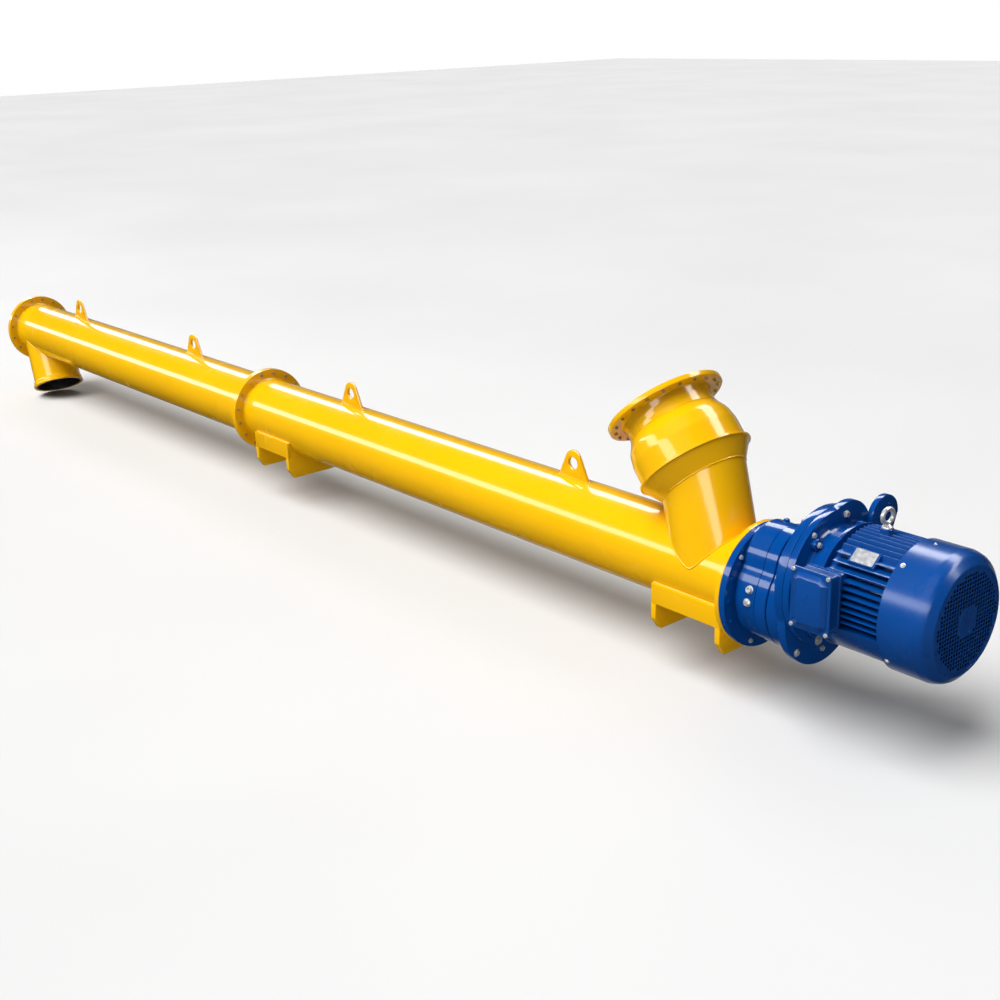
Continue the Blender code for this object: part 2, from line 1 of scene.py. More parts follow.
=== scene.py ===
"""Looks of a tubular screw conveyor: fine pieces, paint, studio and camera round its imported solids.

Everything is in metres in the solids' own frame: +X along the tube to the motor, +Z up, -Y near side.
Stations on the drive are measured along X from the tube's end, and heights from the tube's axis.
"""

import math

import bmesh
import bpy
from mathutils import Matrix, Vector


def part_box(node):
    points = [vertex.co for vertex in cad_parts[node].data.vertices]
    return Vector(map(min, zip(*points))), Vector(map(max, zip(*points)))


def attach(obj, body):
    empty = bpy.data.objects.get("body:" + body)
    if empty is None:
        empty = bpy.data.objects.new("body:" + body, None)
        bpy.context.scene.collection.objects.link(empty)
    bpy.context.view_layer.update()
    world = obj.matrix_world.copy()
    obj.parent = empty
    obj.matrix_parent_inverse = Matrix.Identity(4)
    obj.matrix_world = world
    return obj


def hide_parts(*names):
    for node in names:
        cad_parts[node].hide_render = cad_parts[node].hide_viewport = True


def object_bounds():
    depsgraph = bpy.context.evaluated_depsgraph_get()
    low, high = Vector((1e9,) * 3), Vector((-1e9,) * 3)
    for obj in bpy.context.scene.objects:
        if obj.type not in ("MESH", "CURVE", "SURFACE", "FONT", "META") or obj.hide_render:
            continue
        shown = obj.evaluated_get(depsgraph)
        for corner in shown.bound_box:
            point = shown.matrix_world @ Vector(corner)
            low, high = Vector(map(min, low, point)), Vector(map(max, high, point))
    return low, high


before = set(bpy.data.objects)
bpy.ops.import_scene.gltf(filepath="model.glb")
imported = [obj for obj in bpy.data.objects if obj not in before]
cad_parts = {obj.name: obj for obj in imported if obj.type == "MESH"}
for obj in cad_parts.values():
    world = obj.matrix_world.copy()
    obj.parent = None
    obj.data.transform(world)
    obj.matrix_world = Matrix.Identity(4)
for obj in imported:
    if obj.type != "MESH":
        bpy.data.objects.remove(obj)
cad_low, cad_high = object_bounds()

# Places read from the solids
TUBE_LOW, TUBE_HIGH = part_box("tube_outlet_section")
AXIS_Z = (TUBE_LOW.z + TUBE_HIGH.z) / 2
TUBE_R = (TUBE_HIGH.z - TUBE_LOW.z) / 2
OUTLET_X = TUBE_LOW.x
DRIVE_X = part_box("tube_inlet_section")[1].x
MOTOR_UP = sum(corner.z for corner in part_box("fan_cover")) / 2 - AXIS_Z

# Gap between neighbours, the pipes' wall, rounded rims and welds
GAP = 0.0003
WALL = 0.005
EDGE = 0.0015
WELD_R = 0.0028

# Leaning pipes: foot on the tube's axis, lean along the tube, and the turn about it that both share
PIPE_TURN = math.radians(-6)
SPOUT_X = OUTLET_X + 0.090
SPOUT_LEAN = math.radians(27)
SPOUT_R = 0.125
SPOUT_LENGTH = 0.322
COLLAR_HEIGHT = 0.030
COLLAR_R = 0.134
LINER_R = 0.110
LINER_DEPTH = 0.085
INLET_X = OUTLET_X + 5.065
INLET_LEAN = math.radians(19)
INLET_R = 0.135
INLET_LENGTH = 0.270
STACK_LEAN = math.radians(43)
THROAT_STEP = 0.004
BEND = STACK_LEAN - INLET_LEAN
BEND_STRETCH = 1 / math.cos(BEND)

# Inlet stack: heights above the pipe's cut, and outlines as radius and height above the seam
SEAM_HEIGHT = 0.060
SEAM_HALF = 0.0035
SEAM_R = 0.187
SEAM_INNER_R = 0.170
CONE_HIGH_R = 0.181
SHELL_LINE = ((0.177, 0.0038), (0.177, 0.070), (0.169, 0.110), (0.1485, 0.146))
NECK_LINE = ((0.1485, 0.1463), (0.146, 0.160), (0.1455, 0.180), (0.150, 0.202))
TOP_FLANGE_LOW = 0.2023
TOP_FLANGE_R = 0.194
TOP_FLANGE_INNER_R = 0.143
TOP_FLANGE_T = 0.017

# Saddles
SADDLE_TOP = -0.056
SADDLE_SIDE_CUT = 0.026
SADDLE_RISE = 0.040
STRIP_T = 0.012
STRIP_HEIGHT = 0.066

# Gear unit
GEAR_LOW_R = 0.150
GEAR_HIGH_R = 0.112
GEAR_REAR_END = 0.208
REAR_FLANGE_END = 0.236
LOBED_END = 0.259
MOTOR_CIRCLE = (0.0, MOTOR_UP, 0.204)
SCREW_CIRCLE = (-0.010, 0.0, 0.174)
TOP_LOBE = (0.052, 0.200, 0.110)
EAR_START = 0.256
EAR_END = 0.275
EAR_CENTRE = (0.207, 0.229)
EAR_R = 0.064

# Motor
BELL_END = 0.330
FINS_START = 0.338
FRAME_END = 0.545
CORE_R = 0.150
FIN_TIP_R = 0.178
TOP_FIN_PITCH = 0.0180
TOP_FIN_COUNT = 11
SIDE_FIN_PITCH = 0.0187
SIDE_FIN_LOWEST = -0.0343
SIDE_FIN_COUNT = 10
FIN_ROOT_HALF = 0.0026
FIN_TIP_HALF = 0.0018
BELLY_R = 0.175
COVER_START = 0.530
COVER_R = 0.186
COVER_END = 0.679
COVER_FACE_R = 0.153
COVER_WALL = 0.003
EYE_X = 0.420
EYE_TURN = math.radians(8)

# Turns that carry a piece's own Z axis to the way it points
ALONG_TUBE = Matrix.Rotation(math.pi / 2, 4, "Y")
AGAINST_TUBE = Matrix.Rotation(-math.pi / 2, 4, "Y")
TO_NEAR_SIDE = Matrix.Rotation(math.pi / 2, 4, "X")
ACROSS = Matrix(((0, 0, 1, 0), (1, 0, 0, 0), (0, 1, 0, 0), (0, 0, 0, 1)))
UPRIGHT = Matrix.Identity(4)

# Outlines in Y and height, thickened along X: on the tube by X, on the drive by station
TUBE_SECTION = Matrix.Translation((0.0, 0.0, AXIS_Z)) @ ACROSS
DRIVE_SECTION = Matrix.Translation((DRIVE_X, 0.0, AXIS_Z)) @ ACROSS
MOTOR_AXIS = Matrix.Translation((DRIVE_X, 0.0, AXIS_Z + MOTOR_UP)) @ ALONG_TUBE


def tube_spot(x, way=ALONG_TUBE):
    """Place on the tube's axis with Z turned along or against +X."""
    return Matrix.Translation((x, 0.0, AXIS_Z)) @ way


def drive_spot(station, y, height, way=ALONG_TUBE):
    """Place on the drive with Z turned along or against +X."""
    return Matrix.Translation((DRIVE_X + station, y, AXIS_Z + height)) @ way


def raised(place, height):
    """A place moved along its own Z."""
    return place @ Matrix.Translation((0.0, 0.0, height))


def pipe_place(foot_x, lean):
    """Foot of a leaning pipe on the tube's axis, with Z along the pipe."""
    turn = Matrix.Rotation(PIPE_TURN, 4, "X") @ Matrix.Rotation(-lean, 4, "Y")
    return Matrix.Translation((foot_x, 0.0, AXIS_Z)) @ turn


TUBE_AXIS = tube_spot(0.0)
SPOUT_PLACE = pipe_place(SPOUT_X, SPOUT_LEAN - math.pi)
INLET_PLACE = pipe_place(INLET_X, INLET_LEAN)
STACK_PLACE = raised(INLET_PLACE, INLET_LENGTH) @ Matrix.Rotation(-BEND, 4, "Y")


def round_motor(degrees, radius):
    """Y and height of a point round the motor's axis. Degrees run from the far side up over the top."""
    angle = math.radians(degrees)
    return radius * math.cos(angle), MOTOR_UP + radius * math.sin(angle)


def disc_size(node):
    """Radius of a round node on the tube's axis, and both its ends along X."""
    low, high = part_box(node)
    return (high.z - low.z) / 2, low.x, high.x


def half_chord(radius, offset):
    """Half of a circle's chord at a distance from its middle."""
    return math.sqrt(radius ** 2 - offset ** 2)


# Shape helpers

# Smallest turn that counts as a corner, a corner's share of a side, next to nothing, a rim's step
LEAST_TURN = math.radians(8)
CORNER_SHARE = 0.45
TINY = 1e-6
RIM_STEP = 0.3

# Sharpest edge that is smoothed, in degrees: on most pieces, flat ones, castings and pressed sheet
SHARP = 38.0
FLAT_SHARP = 30.0
CAST_SHARP = 32.0
SHEET_SHARP = 42.0


def rounded(points, radius, steps=4, closed=True):
    """Replace each real corner of a flat outline by a short curve of about that radius."""
    result = []
    count = len(points)
    for number, point in enumerate(points):
        here = Vector(point)
        if not closed and number in (0, count - 1):
            result.append(tuple(here))
            continue
        back = Vector(points[number - 1]) - here
        ahead = Vector(points[(number + 1) % count]) - here
        turn = math.pi - back.angle(ahead, math.pi)
        if turn < LEAST_TURN:
            result.append(tuple(here))
            continue
        cut_back = min(radius * math.tan(turn / 2), CORNER_SHARE * back.length, CORNER_SHARE * ahead.length)
        start = here + back.normalized() * cut_back
        end = here + ahead.normalized() * cut_back
        for step in range(steps + 1):
            t = step / steps
            result.append(tuple(start * (1 - t) ** 2 + here * 2 * t * (1 - t) + end * t ** 2))
    return result


def arc(centre, radius, start, stop, steps):
    """Points along an arc, from one angle to another."""
    points = []
    for step in range(steps + 1):
        angle = start + (stop - start) * step / steps
        points.append((centre[0] + radius * math.cos(angle), centre[1] + radius * math.sin(angle)))
    return points


def circle(radius, steps, centre=(0.0, 0.0)):
    """Points round a full circle."""
    return arc(centre, radius, 0.0, 2 * math.pi, steps)[:-1]


def rectangle(half_u, half_v, radius, steps=4):
    """Rectangle about the origin with rounded corners."""
    corners = [(-half_u, -half_v), (half_u, -half_v), (half_u, half_v), (-half_u, half_v)]
    return rounded(corners, radius, steps) if radius else corners


def joined_circles(middle, circles, soft, steps=200):
    """Outline round two circles, as seen from a middle point, with the creases between them softened."""
    points = []
    middle = Vector(middle)
    for step in range(steps):
        angle = 2 * math.pi * step / steps
        way = Vector((math.cos(angle), math.sin(angle)))
        reaches = []
        for y, z, radius in circles:
            to_centre = Vector((y, z)) - middle
            along = to_centre.dot(way)
            spare = radius ** 2 - to_centre.length_squared + along ** 2
            reaches.append(along + math.sqrt(spare) if spare > 0.0 else 0.0)
        near = max(soft - (max(reaches) - min(reaches)), 0.0) / soft
        points.append(tuple(middle + way * (max(reaches) + near ** 3 * soft / 6)))
    return points


def inset(outline, distance):
    """Move each point of a closed outline inwards, square to its neighbours."""
    area = 0.0
    for before, after in zip(outline, outline[1:] + outline[:1]):
        area += before[0] * after[1] - after[0] * before[1]
    side = 1.0 if area > 0.0 else -1.0
    moved = []
    for number, point in enumerate(outline):
        along = Vector(outline[(number + 1) % len(outline)]) - Vector(outline[number - 1])
        along.normalize()
        moved.append((point[0] - along.y * distance * side, point[1] + along.x * distance * side))
    return moved


def at_height(outline, height):
    """Lift a flat outline to a height."""
    return [(u, v, height) for u, v in outline]


def add_loft(shape, rings, place=UPRIGHT, closed=False):
    """Skin a row of rings that have the same number of points each, and cap its ends or join them."""
    rows = [[shape.verts.new(place @ Vector(point)) for point in ring] for ring in rings]
    pairs = list(zip(rows, rows[1:]))
    if closed:
        pairs.append((rows[-1], rows[0]))
    for low, high in pairs:
        count = len(low)
        for step in range(count):
            after = (step + 1) % count
            shape.faces.new((low[step], low[after], high[after], high[step]))
    if not closed:
        shape.faces.new(rows[0])
        shape.faces.new(rows[-1])


def add_lathe(shape, profile, place, segments):
    """Turn a profile of radius and height points about Z. A profile off the axis closes on itself."""
    rings = []
    for radius, height in profile:
        if radius < TINY:
            rings.append([shape.verts.new(place @ Vector((0.0, 0.0, height)))])
            continue
        spots = circle(radius, segments)
        rings.append([shape.verts.new(place @ Vector((u, v, height))) for u, v in spots])
    pairs = list(zip(rings, rings[1:]))
    if len(rings[0]) > 1 and len(rings[-1]) > 1:
        pairs.append((rings[-1], rings[0]))
    for low, high in pairs:
        if len(low) == 1 and len(high) == 1:
            continue
        for step in range(segments):
            after = (step + 1) % segments
            corners = [low[step % len(low)], low[after % len(low)]]
            corners += [high[after % len(high)], high[step % len(high)]]
            shape.faces.new(list(dict.fromkeys(corners)))


def stepped(outline, levels):
    """Rings of a flat outline, drawn in by some distance at each height."""
    return [at_height(inset(outline, drop), height) for drop, height in levels]


def add_plate(shape, outline, low, high, edge, place):
    """Thicken a flat outline between two heights, with its rims rounded."""
    step = edge * RIM_STEP
    levels = ((edge, low), (step, low + step), (0.0, low + edge),
              (0.0, high - edge), (step, high - step), (edge, high))
    add_loft(shape, stepped(outline, levels), place)


# Ripple of a weld bead, and a direction that no bead runs along
BEAD_RIPPLE = 0.12
ODD_WAY = Vector((0.31, 0.17, 0.93))


def add_bead(shape, path, radius=WELD_R, closed=True):
    """Lay a weld bead with a fine ripple along a path."""
    count = len(path)
    rings = []
    for number, point in enumerate(path):
        here = Vector(point)
        before = Vector(path[number - 1]) if closed or number else here
        after = Vector(path[(number + 1) % count]) if closed or number < count - 1 else here
        along = (after - before).normalized()
        side = along.cross(ODD_WAY).normalized()
        other = along.cross(side)
        size = radius * (1.0 + BEAD_RIPPLE * (number % 3 - 1))
        rings.append([here + (side * u + other * v) * size for u, v in circle(1.0, 8)])
    add_loft(shape, rings, closed=closed)


# Turned corners of a hexagon: their share of its height, and the width left on top
TURNED_DEPTH = 0.16
TURNED_WIDTH = 0.9


def add_hexagon(shape, place, across, low, high):
    """Hexagon with its upper corners turned off, as on a bolt head or nut."""
    corner = across / math.sqrt(3)
    levels = ((1.0, low), (1.0, high - TURNED_DEPTH * (high - low)), (TURNED_WIDTH, high))
    rings = [at_height(circle(corner * scale, 6), height) for scale, height in levels]
    add_loft(shape, rings, place)


# A bolt's parts in terms of its size: washer with the drop and width of its bevel, head and nut heights,
# width across flats, and how far the thread stands out, with its radius and the length of its point
WASHER_R = 1.05
WASHER_T = 0.16
WASHER_BEVEL = (0.7, 0.07)
HEAD_HEIGHT = 0.64
NUT_HEIGHT = 0.8
ACROSS_FLATS = 1.55
THREAD_OUT = 0.3
THREAD_R = 0.48
THREAD_POINT = (0.36, 0.1)
BOLT_TWIST = 0.7


def add_bolt(shape, place, size, nut=False, washer=WASHER_R):
    """Bolt head with its washer, or a nut with the bolt's end standing out of it."""
    top = WASHER_T * size
    rim = washer * size
    profile = [(0.0, 0.0), (rim, 0.0), (rim, WASHER_BEVEL[0] * top), (rim - WASHER_BEVEL[1] * size, top)]
    add_lathe(shape, profile + [(0.0, top)], place, 20)
    height = top + (NUT_HEIGHT if nut else HEAD_HEIGHT) * size
    add_hexagon(shape, place, ACROSS_FLATS * size, top, height)
    if nut:
        end = height + THREAD_OUT * size
        profile = [(0.0, height), (THREAD_R * size, height), (THREAD_R * size, end - THREAD_POINT[1] * size)]
        add_lathe(shape, profile + [(THREAD_POINT[0] * size, end), (0.0, end)], place, 14)


def add_bolt_ring(shape, place, radius, count, size, nut=False):
    """Bolts evenly round a circle, half a step off its first axis, each turned a little further."""
    for number in range(count):
        turn = Matrix.Rotation(2 * math.pi * (number + 0.5) / count, 4, "Z")
        twist = Matrix.Rotation(BOLT_TWIST * number, 4, "Z")
        add_bolt(shape, place @ turn @ Matrix.Translation((radius, 0.0, 0.0)) @ twist, size, nut)


def link(name, shape):
    """Turn a shape into an object of the scene."""
    bmesh.ops.recalc_face_normals(shape, faces=shape.faces[:])
    mesh = bpy.data.meshes.new(name)
    shape.to_mesh(mesh)
    shape.free()
    made = bpy.data.objects.new(name, mesh)
    bpy.context.scene.collection.objects.link(made)
    return made


def shade(mesh, sharp):
    """Smooth a mesh but for edges that turn more than the stated degrees."""
    mesh.shade_smooth()
    mesh.set_sharp_from_angle(angle=math.radians(sharp))


def piece(name, shape, look, stands_for=(), sharp=SHARP):
    """Make a shape into a piece of the conveyor. A look is a material with its slot."""
    material, slot = look
    made = link(name, shape)
    shade(made.data, sharp)
    made.data.materials.append(material)
    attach(made, "root")
    if stands_for:
        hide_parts(*stands_for)
    return made


def turned(name, profile, place, look, stands_for=(), segments=128, sharp=SHARP):
    """One turned piece."""
    shape = bmesh.new()
    add_lathe(shape, profile, place, segments)
    return piece(name, shape, look, stands_for, sharp)


def cut(target, profile, place, segments=128):
    """Bore a round hole through a piece and keep the result as its mesh."""
    shape = bmesh.new()
    add_lathe(shape, profile, place, segments)
    tool = link("bore", shape)
    change = target.modifiers.new("bore", "BOOLEAN")
    change.operation = "DIFFERENCE"
    change.solver = "EXACT"
    change.object = tool
    graph = bpy.context.evaluated_depsgraph_get()
    result = bpy.data.meshes.new_from_object(target.evaluated_get(graph))
    target.modifiers.clear()
    target.data = result
    bpy.data.objects.remove(tool, do_unlink=True)
    shade(result, SHARP)


def flat_with_holes(loops, half_thickness, edge):
    """Fill a flat outline that has holes in it, and give it thickness and a small bevel."""
    curve = bpy.data.curves.new("plate", "CURVE")
    curve.dimensions = "2D"
    curve.fill_mode = "BOTH"
    curve.extrude = half_thickness - edge
    curve.bevel_depth = edge
    curve.bevel_resolution = 1
    curve.offset = -edge
    for loop in loops:
        line = curve.splines.new("POLY")
        line.points.add(len(loop) - 1)
        for point, (u, v) in zip(line.points, loop):
            point.co = (u, v, 0.0, 1.0)
        line.use_cyclic_u = True
    holder = bpy.data.objects.new("plate", curve)
    bpy.context.scene.collection.objects.link(holder)
    graph = bpy.context.evaluated_depsgraph_get()
    mesh = bpy.data.meshes.new_from_object(holder.evaluated_get(graph))
    bpy.data.objects.remove(holder, do_unlink=True)
    bpy.data.curves.remove(curve)
    shape = bmesh.new()
    shape.from_mesh(mesh)
    bpy.data.meshes.remove(mesh)
    bmesh.ops.remove_doubles(shape, verts=shape.verts[:], dist=TINY)
    return shape


# Materials


def set_values(node, values):
    """Set a node's values by their sockets' names, with _ for each space."""
    for name, value in values.items():
        node.inputs[name.replace("_", " ")].default_value = value


class Recipe:
    """A node material that is built up step by step."""

    def __init__(self, name):
        self.material = bpy.data.materials.new(name)
        self.material.use_nodes = True
        self.nodes = self.material.node_tree.nodes
        self.links = self.material.node_tree.links
        self.shader = self.nodes["Principled BSDF"]
        self.place = self.nodes.new("ShaderNodeTexCoord").outputs["Object"]

    def add(self, kind, source, socket, **values):
        """A node with a source on one of its sockets and values on others."""
        node = self.nodes.new(f"ShaderNode{kind}")
        self.links.new(source, node.inputs[socket])
        set_values(node, values)
        return node

    def noise(self, scale, detail=3.0):
        """Noise in the object's own space."""
        return self.add("TexNoise", self.place, "Vector", Scale=scale, Detail=detail).outputs["Fac"]

    def stretched_noise(self, scale, stretch):
        """Noise drawn out along one axis, for rolled and brushed metal."""
        mapped = self.add("Mapping", self.place, "Vector", Scale=stretch).outputs["Vector"]
        return self.add("TexNoise", mapped, "Vector", Scale=scale, Detail=4.0).outputs["Fac"]

    def between(self, source, start, end, first, last):
        """Map one range of a source to another."""
        node = self.add("MapRange", source, "Value", From_Min=start, From_Max=end, To_Min=first, To_Max=last)
        return node.outputs["Result"]

    def spread(self, source, low, high):
        """Map a noise's middle range to two values."""
        return self.between(source, 0.3, 0.7, low, high)

    def colours(self, source, first, second, start=0.3, end=0.7):
        """Colour a source from one tone to another."""
        node = self.add("ValToRGB", source, "Fac")
        for element, position, tone in zip(node.color_ramp.elements, (start, end), (first, second)):
            element.position = position
            element.color = (*tone, 1.0)
        return node.outputs["Color"]

    def mix(self, factor, first, second):
        """Blend two colours."""
        node = self.nodes.new("ShaderNodeMix")
        node.data_type = "RGBA"
        self.links.new(factor, node.inputs["Factor"])
        for socket, value in ((node.inputs[6], first), (node.inputs[7], second)):
            if isinstance(value, tuple):
                socket.default_value = (*value, 1.0)
            else:
                self.links.new(value, socket)
        return node.outputs[2]

    def painted_fold_shade(self, start, end):
        """Mask for painted shade: one where the surface folds inwards, nought elsewhere."""
        pointed = self.nodes.new("ShaderNodeNewGeometry").outputs["Pointiness"]
        return self.between(pointed, start, end, 1.0, 0.0)

    def bumps(self, *layers):
        """Stack bumps of a source, a strength and a depth in metres."""
        normal = None
        for source, strength, depth in layers:
            node = self.add("Bump", source, "Height", Strength=strength, Distance=depth)
            if normal is not None:
                self.links.new(normal, node.inputs["Normal"])
            normal = node.outputs["Normal"]
        self.links.new(normal, self.shader.inputs["Normal"])

    def surface(self, colour, roughness, **values):
        """Connect the colour, set or connect the roughness, and set the shader's other values."""
        self.links.new(colour, self.shader.inputs["Base Color"])
        if isinstance(roughness, float):
            self.shader.inputs["Roughness"].default_value = roughness
        else:
            self.links.new(roughness, self.shader.inputs["Roughness"])
        set_values(self.shader, values)
        return self.material


def yellow_enamel():
    """Thick glossy enamel on rolled steel: faint tone drift, painted shade in its folds, orange peel and a
    slow wave.
    """
    recipe = Recipe("yellow_enamel")
    drift = recipe.colours(recipe.noise(2.3), (0.88, 0.465, 0.0015), (0.91, 0.495, 0.0015))
    # Painted shade: a darker orange mixed in where the surface folds inwards
    colour = recipe.mix(recipe.painted_fold_shade(0.36, 0.46), drift, (0.68, 0.29, 0.002))
    recipe.bumps((recipe.noise(420.0, 2.0), 0.05, 0.0004), (recipe.noise(11.0, 2.0), 0.025, 0.003))
    rough = recipe.spread(recipe.noise(6.0), 0.20, 0.30)
    return recipe.surface(colour, rough, Specular_IOR_Level=0.12, Coat_Weight=0.9, Coat_Roughness=0.09)


def blue_enamel(name, wave, depth, rough_low, rough_high, coat_rough):
    """Glossy blue over metal, with painted shade in its folds and a casting's waviness or a sheet's."""
    recipe = Recipe(name)
    drift = recipe.colours(recipe.noise(5.0), (0.0005, 0.053, 0.25), (0.0006, 0.061, 0.29))
    # Painted shade: a darker blue mixed in where the surface folds inwards
    colour = recipe.mix(recipe.painted_fold_shade(0.38, 0.47), drift, (0.0005, 0.012, 0.08))
    recipe.bumps((recipe.noise(380.0, 2.0), 0.06, 0.0004), (recipe.noise(wave, 3.0), depth, 0.006))
    rough = recipe.spread(recipe.noise(14.0), rough_low, rough_high)
    return recipe.surface(colour, rough, Specular_IOR_Level=0.1, Coat_Weight=0.9, Coat_Roughness=coat_rough)


def zinc_plate():
    """Bright plated steel of bolts and the eye bolt, a little clouded."""
    recipe = Recipe("zinc_plate")
    colour = recipe.colours(recipe.noise(90.0), (0.66, 0.66, 0.65), (0.90, 0.90, 0.89), 0.35, 0.65)
    recipe.bumps((recipe.noise(900.0, 2.0), 0.15, 0.0003),)
    return recipe.surface(colour, recipe.spread(recipe.noise(160.0), 0.22, 0.42), Metallic=0.6)


def dulled_bolt():
    """Flange bolts that the enamel's spray has partly covered."""
    recipe = Recipe("dulled_bolt")
    spray = recipe.colours(recipe.noise(70.0), (0.24, 0.22, 0.16), (0.55, 0.34, 0.03), 0.44, 0.58)
    recipe.bumps((recipe.noise(800.0, 2.0), 0.2, 0.0003),)
    return recipe.surface(spray, recipe.spread(recipe.noise(120.0), 0.3, 0.5), Metallic=0.25)


def rolled_steel():
    """Plain screw steel, worn bright along the way that the material slides."""
    recipe = Recipe("rolled_steel")
    streaks = recipe.stretched_noise(30.0, (1.0, 8.0, 8.0))
    colour = recipe.colours(streaks, (0.20, 0.19, 0.18), (0.42, 0.41, 0.39), 0.35, 0.65)
    recipe.bumps((streaks, 0.2, 0.0006),)
    return recipe.surface(colour, recipe.spread(streaks, 0.3, 0.5), Metallic=0.6)


def black_rubber():
    """Matt liner with a fine grain."""
    recipe = Recipe("black_rubber")
    colour = recipe.colours(recipe.noise(40.0), (0.010, 0.010, 0.011), (0.030, 0.030, 0.032))
    recipe.bumps((recipe.noise(600.0), 0.25, 0.0005),)
    return recipe.surface(colour, recipe.spread(recipe.noise(60.0), 0.5, 0.7))


def plate_aluminium():
    """Blank nameplate: brushed and lightly mottled."""
    recipe = Recipe("plate_aluminium")
    brushed = recipe.stretched_noise(60.0, (1.0, 12.0, 12.0))
    cloud = recipe.colours(recipe.noise(75.0), (0.36, 0.37, 0.40), (0.60, 0.61, 0.63), 0.35, 0.65)
    recipe.bumps((brushed, 0.12, 0.0003),)
    return recipe.surface(cloud, recipe.spread(brushed, 0.35, 0.5), Metallic=0.3)


def shadow_black():
    """Painted shade: near-black for the fan and the hidden space behind the grille."""
    recipe = Recipe("shadow_black")
    colour = recipe.colours(recipe.noise(30.0), (0.001, 0.0015, 0.004), (0.002, 0.003, 0.008))
    recipe.bumps((recipe.noise(200.0), 0.1, 0.0005),)
    return recipe.surface(colour, recipe.spread(recipe.noise(50.0), 0.5, 0.65), Specular_IOR_Level=0.1)


# Looks: a material with its slot
YELLOW = (yellow_enamel(), "yellow_paint")
CAST_BLUE = (blue_enamel("cast_blue", 26.0, 0.22, 0.16, 0.28, 0.06), "blue_paint")
SHEET_BLUE = (blue_enamel("sheet_blue", 9.0, 0.08, 0.24, 0.36, 0.22), "blue_paint")
ZINC = (zinc_plate(), "zinc")
DULLED = (dulled_bolt(), "zinc")
STEEL = (rolled_steel(), "screw_steel")
RUBBER = (black_rubber(), "black_liner")
ALUMINIUM = (plate_aluminium(), "zinc")
# Painted shade: a near-black look for what lies in the shade behind the grille, and the same in the blue
# paint's slot
SHADOW = (shadow_black(), "black_liner")
SHADED_BLUE = (SHADOW[0], "blue_paint")


# Yellow pieces


def ring(name, inner, outer, low, high, place, stands_for=(), edge=EDGE):
    """A flat ring with rounded rims."""
    profile = rounded([(inner, low), (outer, low), (outer, high), (inner, high)], edge, 3)
    turned(name, profile, place, YELLOW, stands_for)


def solid_rod(radius, low, high):
    """Profile of a full round bar between two heights."""
    return [(0.0, low), (radius, low), (radius, high), (0.0, high)]


def rounded_rod(radius, low, high, edge):
    """Profile of a full round bar with rounded rims."""
    return rounded(solid_rod(radius, low, high), edge, 3, closed=False)


def pipe_wall(radius, low, high):
    """Closed profile of a pipe's wall between two heights."""
    return [(radius - WALL, low), (radius, low), (radius, high), (radius - WALL, high)]


def make_tube():
    """Both tube sections, bored where the spout and the inlet join them."""
    for node, foot, radius, reach in (
        ("tube_outlet_section", SPOUT_PLACE, SPOUT_R, SPOUT_LENGTH),
        ("tube_inlet_section", INLET_PLACE, INLET_R, INLET_LENGTH),
    ):
        low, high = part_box(node)
        name = node.replace("tube", "round_tube")
        tube = turned(name, pipe_wall(TUBE_R, low.x, high.x), TUBE_AXIS, YELLOW, [node])
        cut(tube, solid_rod(radius - WALL - THROAT_STEP, 0.0, reach), foot, 96)


def add_fillet(shape, place, radius, at, reach, way):
    """Weld fillet in the corner between a tube and a flange's face."""
    steps = 5
    profile = [(radius, at)]
    for step in range(steps):
        angle = math.pi / 2 * step / steps
        profile.append((radius + reach * (1 - math.sin(angle)), at + way * reach * (1 - math.cos(angle))))
    add_lathe(shape, profile + [(radius, at + way * reach)], place, 128)


FLANGE_BOLTS = 16
FLANGE_BOLT = 0.0068
FLANGE_BOLTS_OUT = 0.003
FLANGE_FILLET = 0.007


def flange_bolt_circle(outer):
    """Radius of the bolts on a tube flange."""
    return (TUBE_R + outer) / 2 + FLANGE_BOLTS_OUT


def make_flanges():
    """Flanges on the tube with their bolts, nuts and weld fillets."""
    welds, bolts = bmesh.new(), bmesh.new()
    for node, way in (("outlet_flange", 1), ("joint_flange_outlet_side", -1),
                      ("joint_flange_inlet_side", 1), ("drive_flange", -1)):
        outer, start, end = disc_size(node)
        ring(f"{node}_disc", TUBE_R + GAP, outer, start, end, TUBE_AXIS, [node])
        face = end if way > 0 else start
        add_fillet(welds, TUBE_AXIS, TUBE_R, face, FLANGE_FILLET, way)
        if node != "drive_flange":
            spot = tube_spot(face, ALONG_TUBE if way > 0 else AGAINST_TUBE)
            add_bolt_ring(bolts, spot, flange_bolt_circle(outer), FLANGE_BOLTS, FLANGE_BOLT, nut=way < 0)
    piece("flange_welds", welds, YELLOW)
    piece("flange_bolts", bolts, DULLED)


# Bearing housing: radius and distance from its cap, then its foot and bolts, and the grease nipple on it
BEARING_R = 0.052
BEARING_LINE = ((0.0, 0.0), (0.030, 0.0), (0.034, 0.004), (BEARING_R, 0.010), (BEARING_R, 0.050),
                (BEARING_R - 0.004, 0.056))
BEARING_FOOT_T = 0.014
BEARING_BOLTS = 6
BEARING_BOLTS_R = 0.0615
BEARING_BOLT = 0.0065
NIPPLE_X = 0.030
NIPPLE_LINE = ((0.0, 0.0), (0.005, 0.0), (0.005, 0.004), (0.0025, 0.006), (0.0025, 0.010), (0.0035, 0.012),
               (0.002, 0.015), (0.0, 0.015))


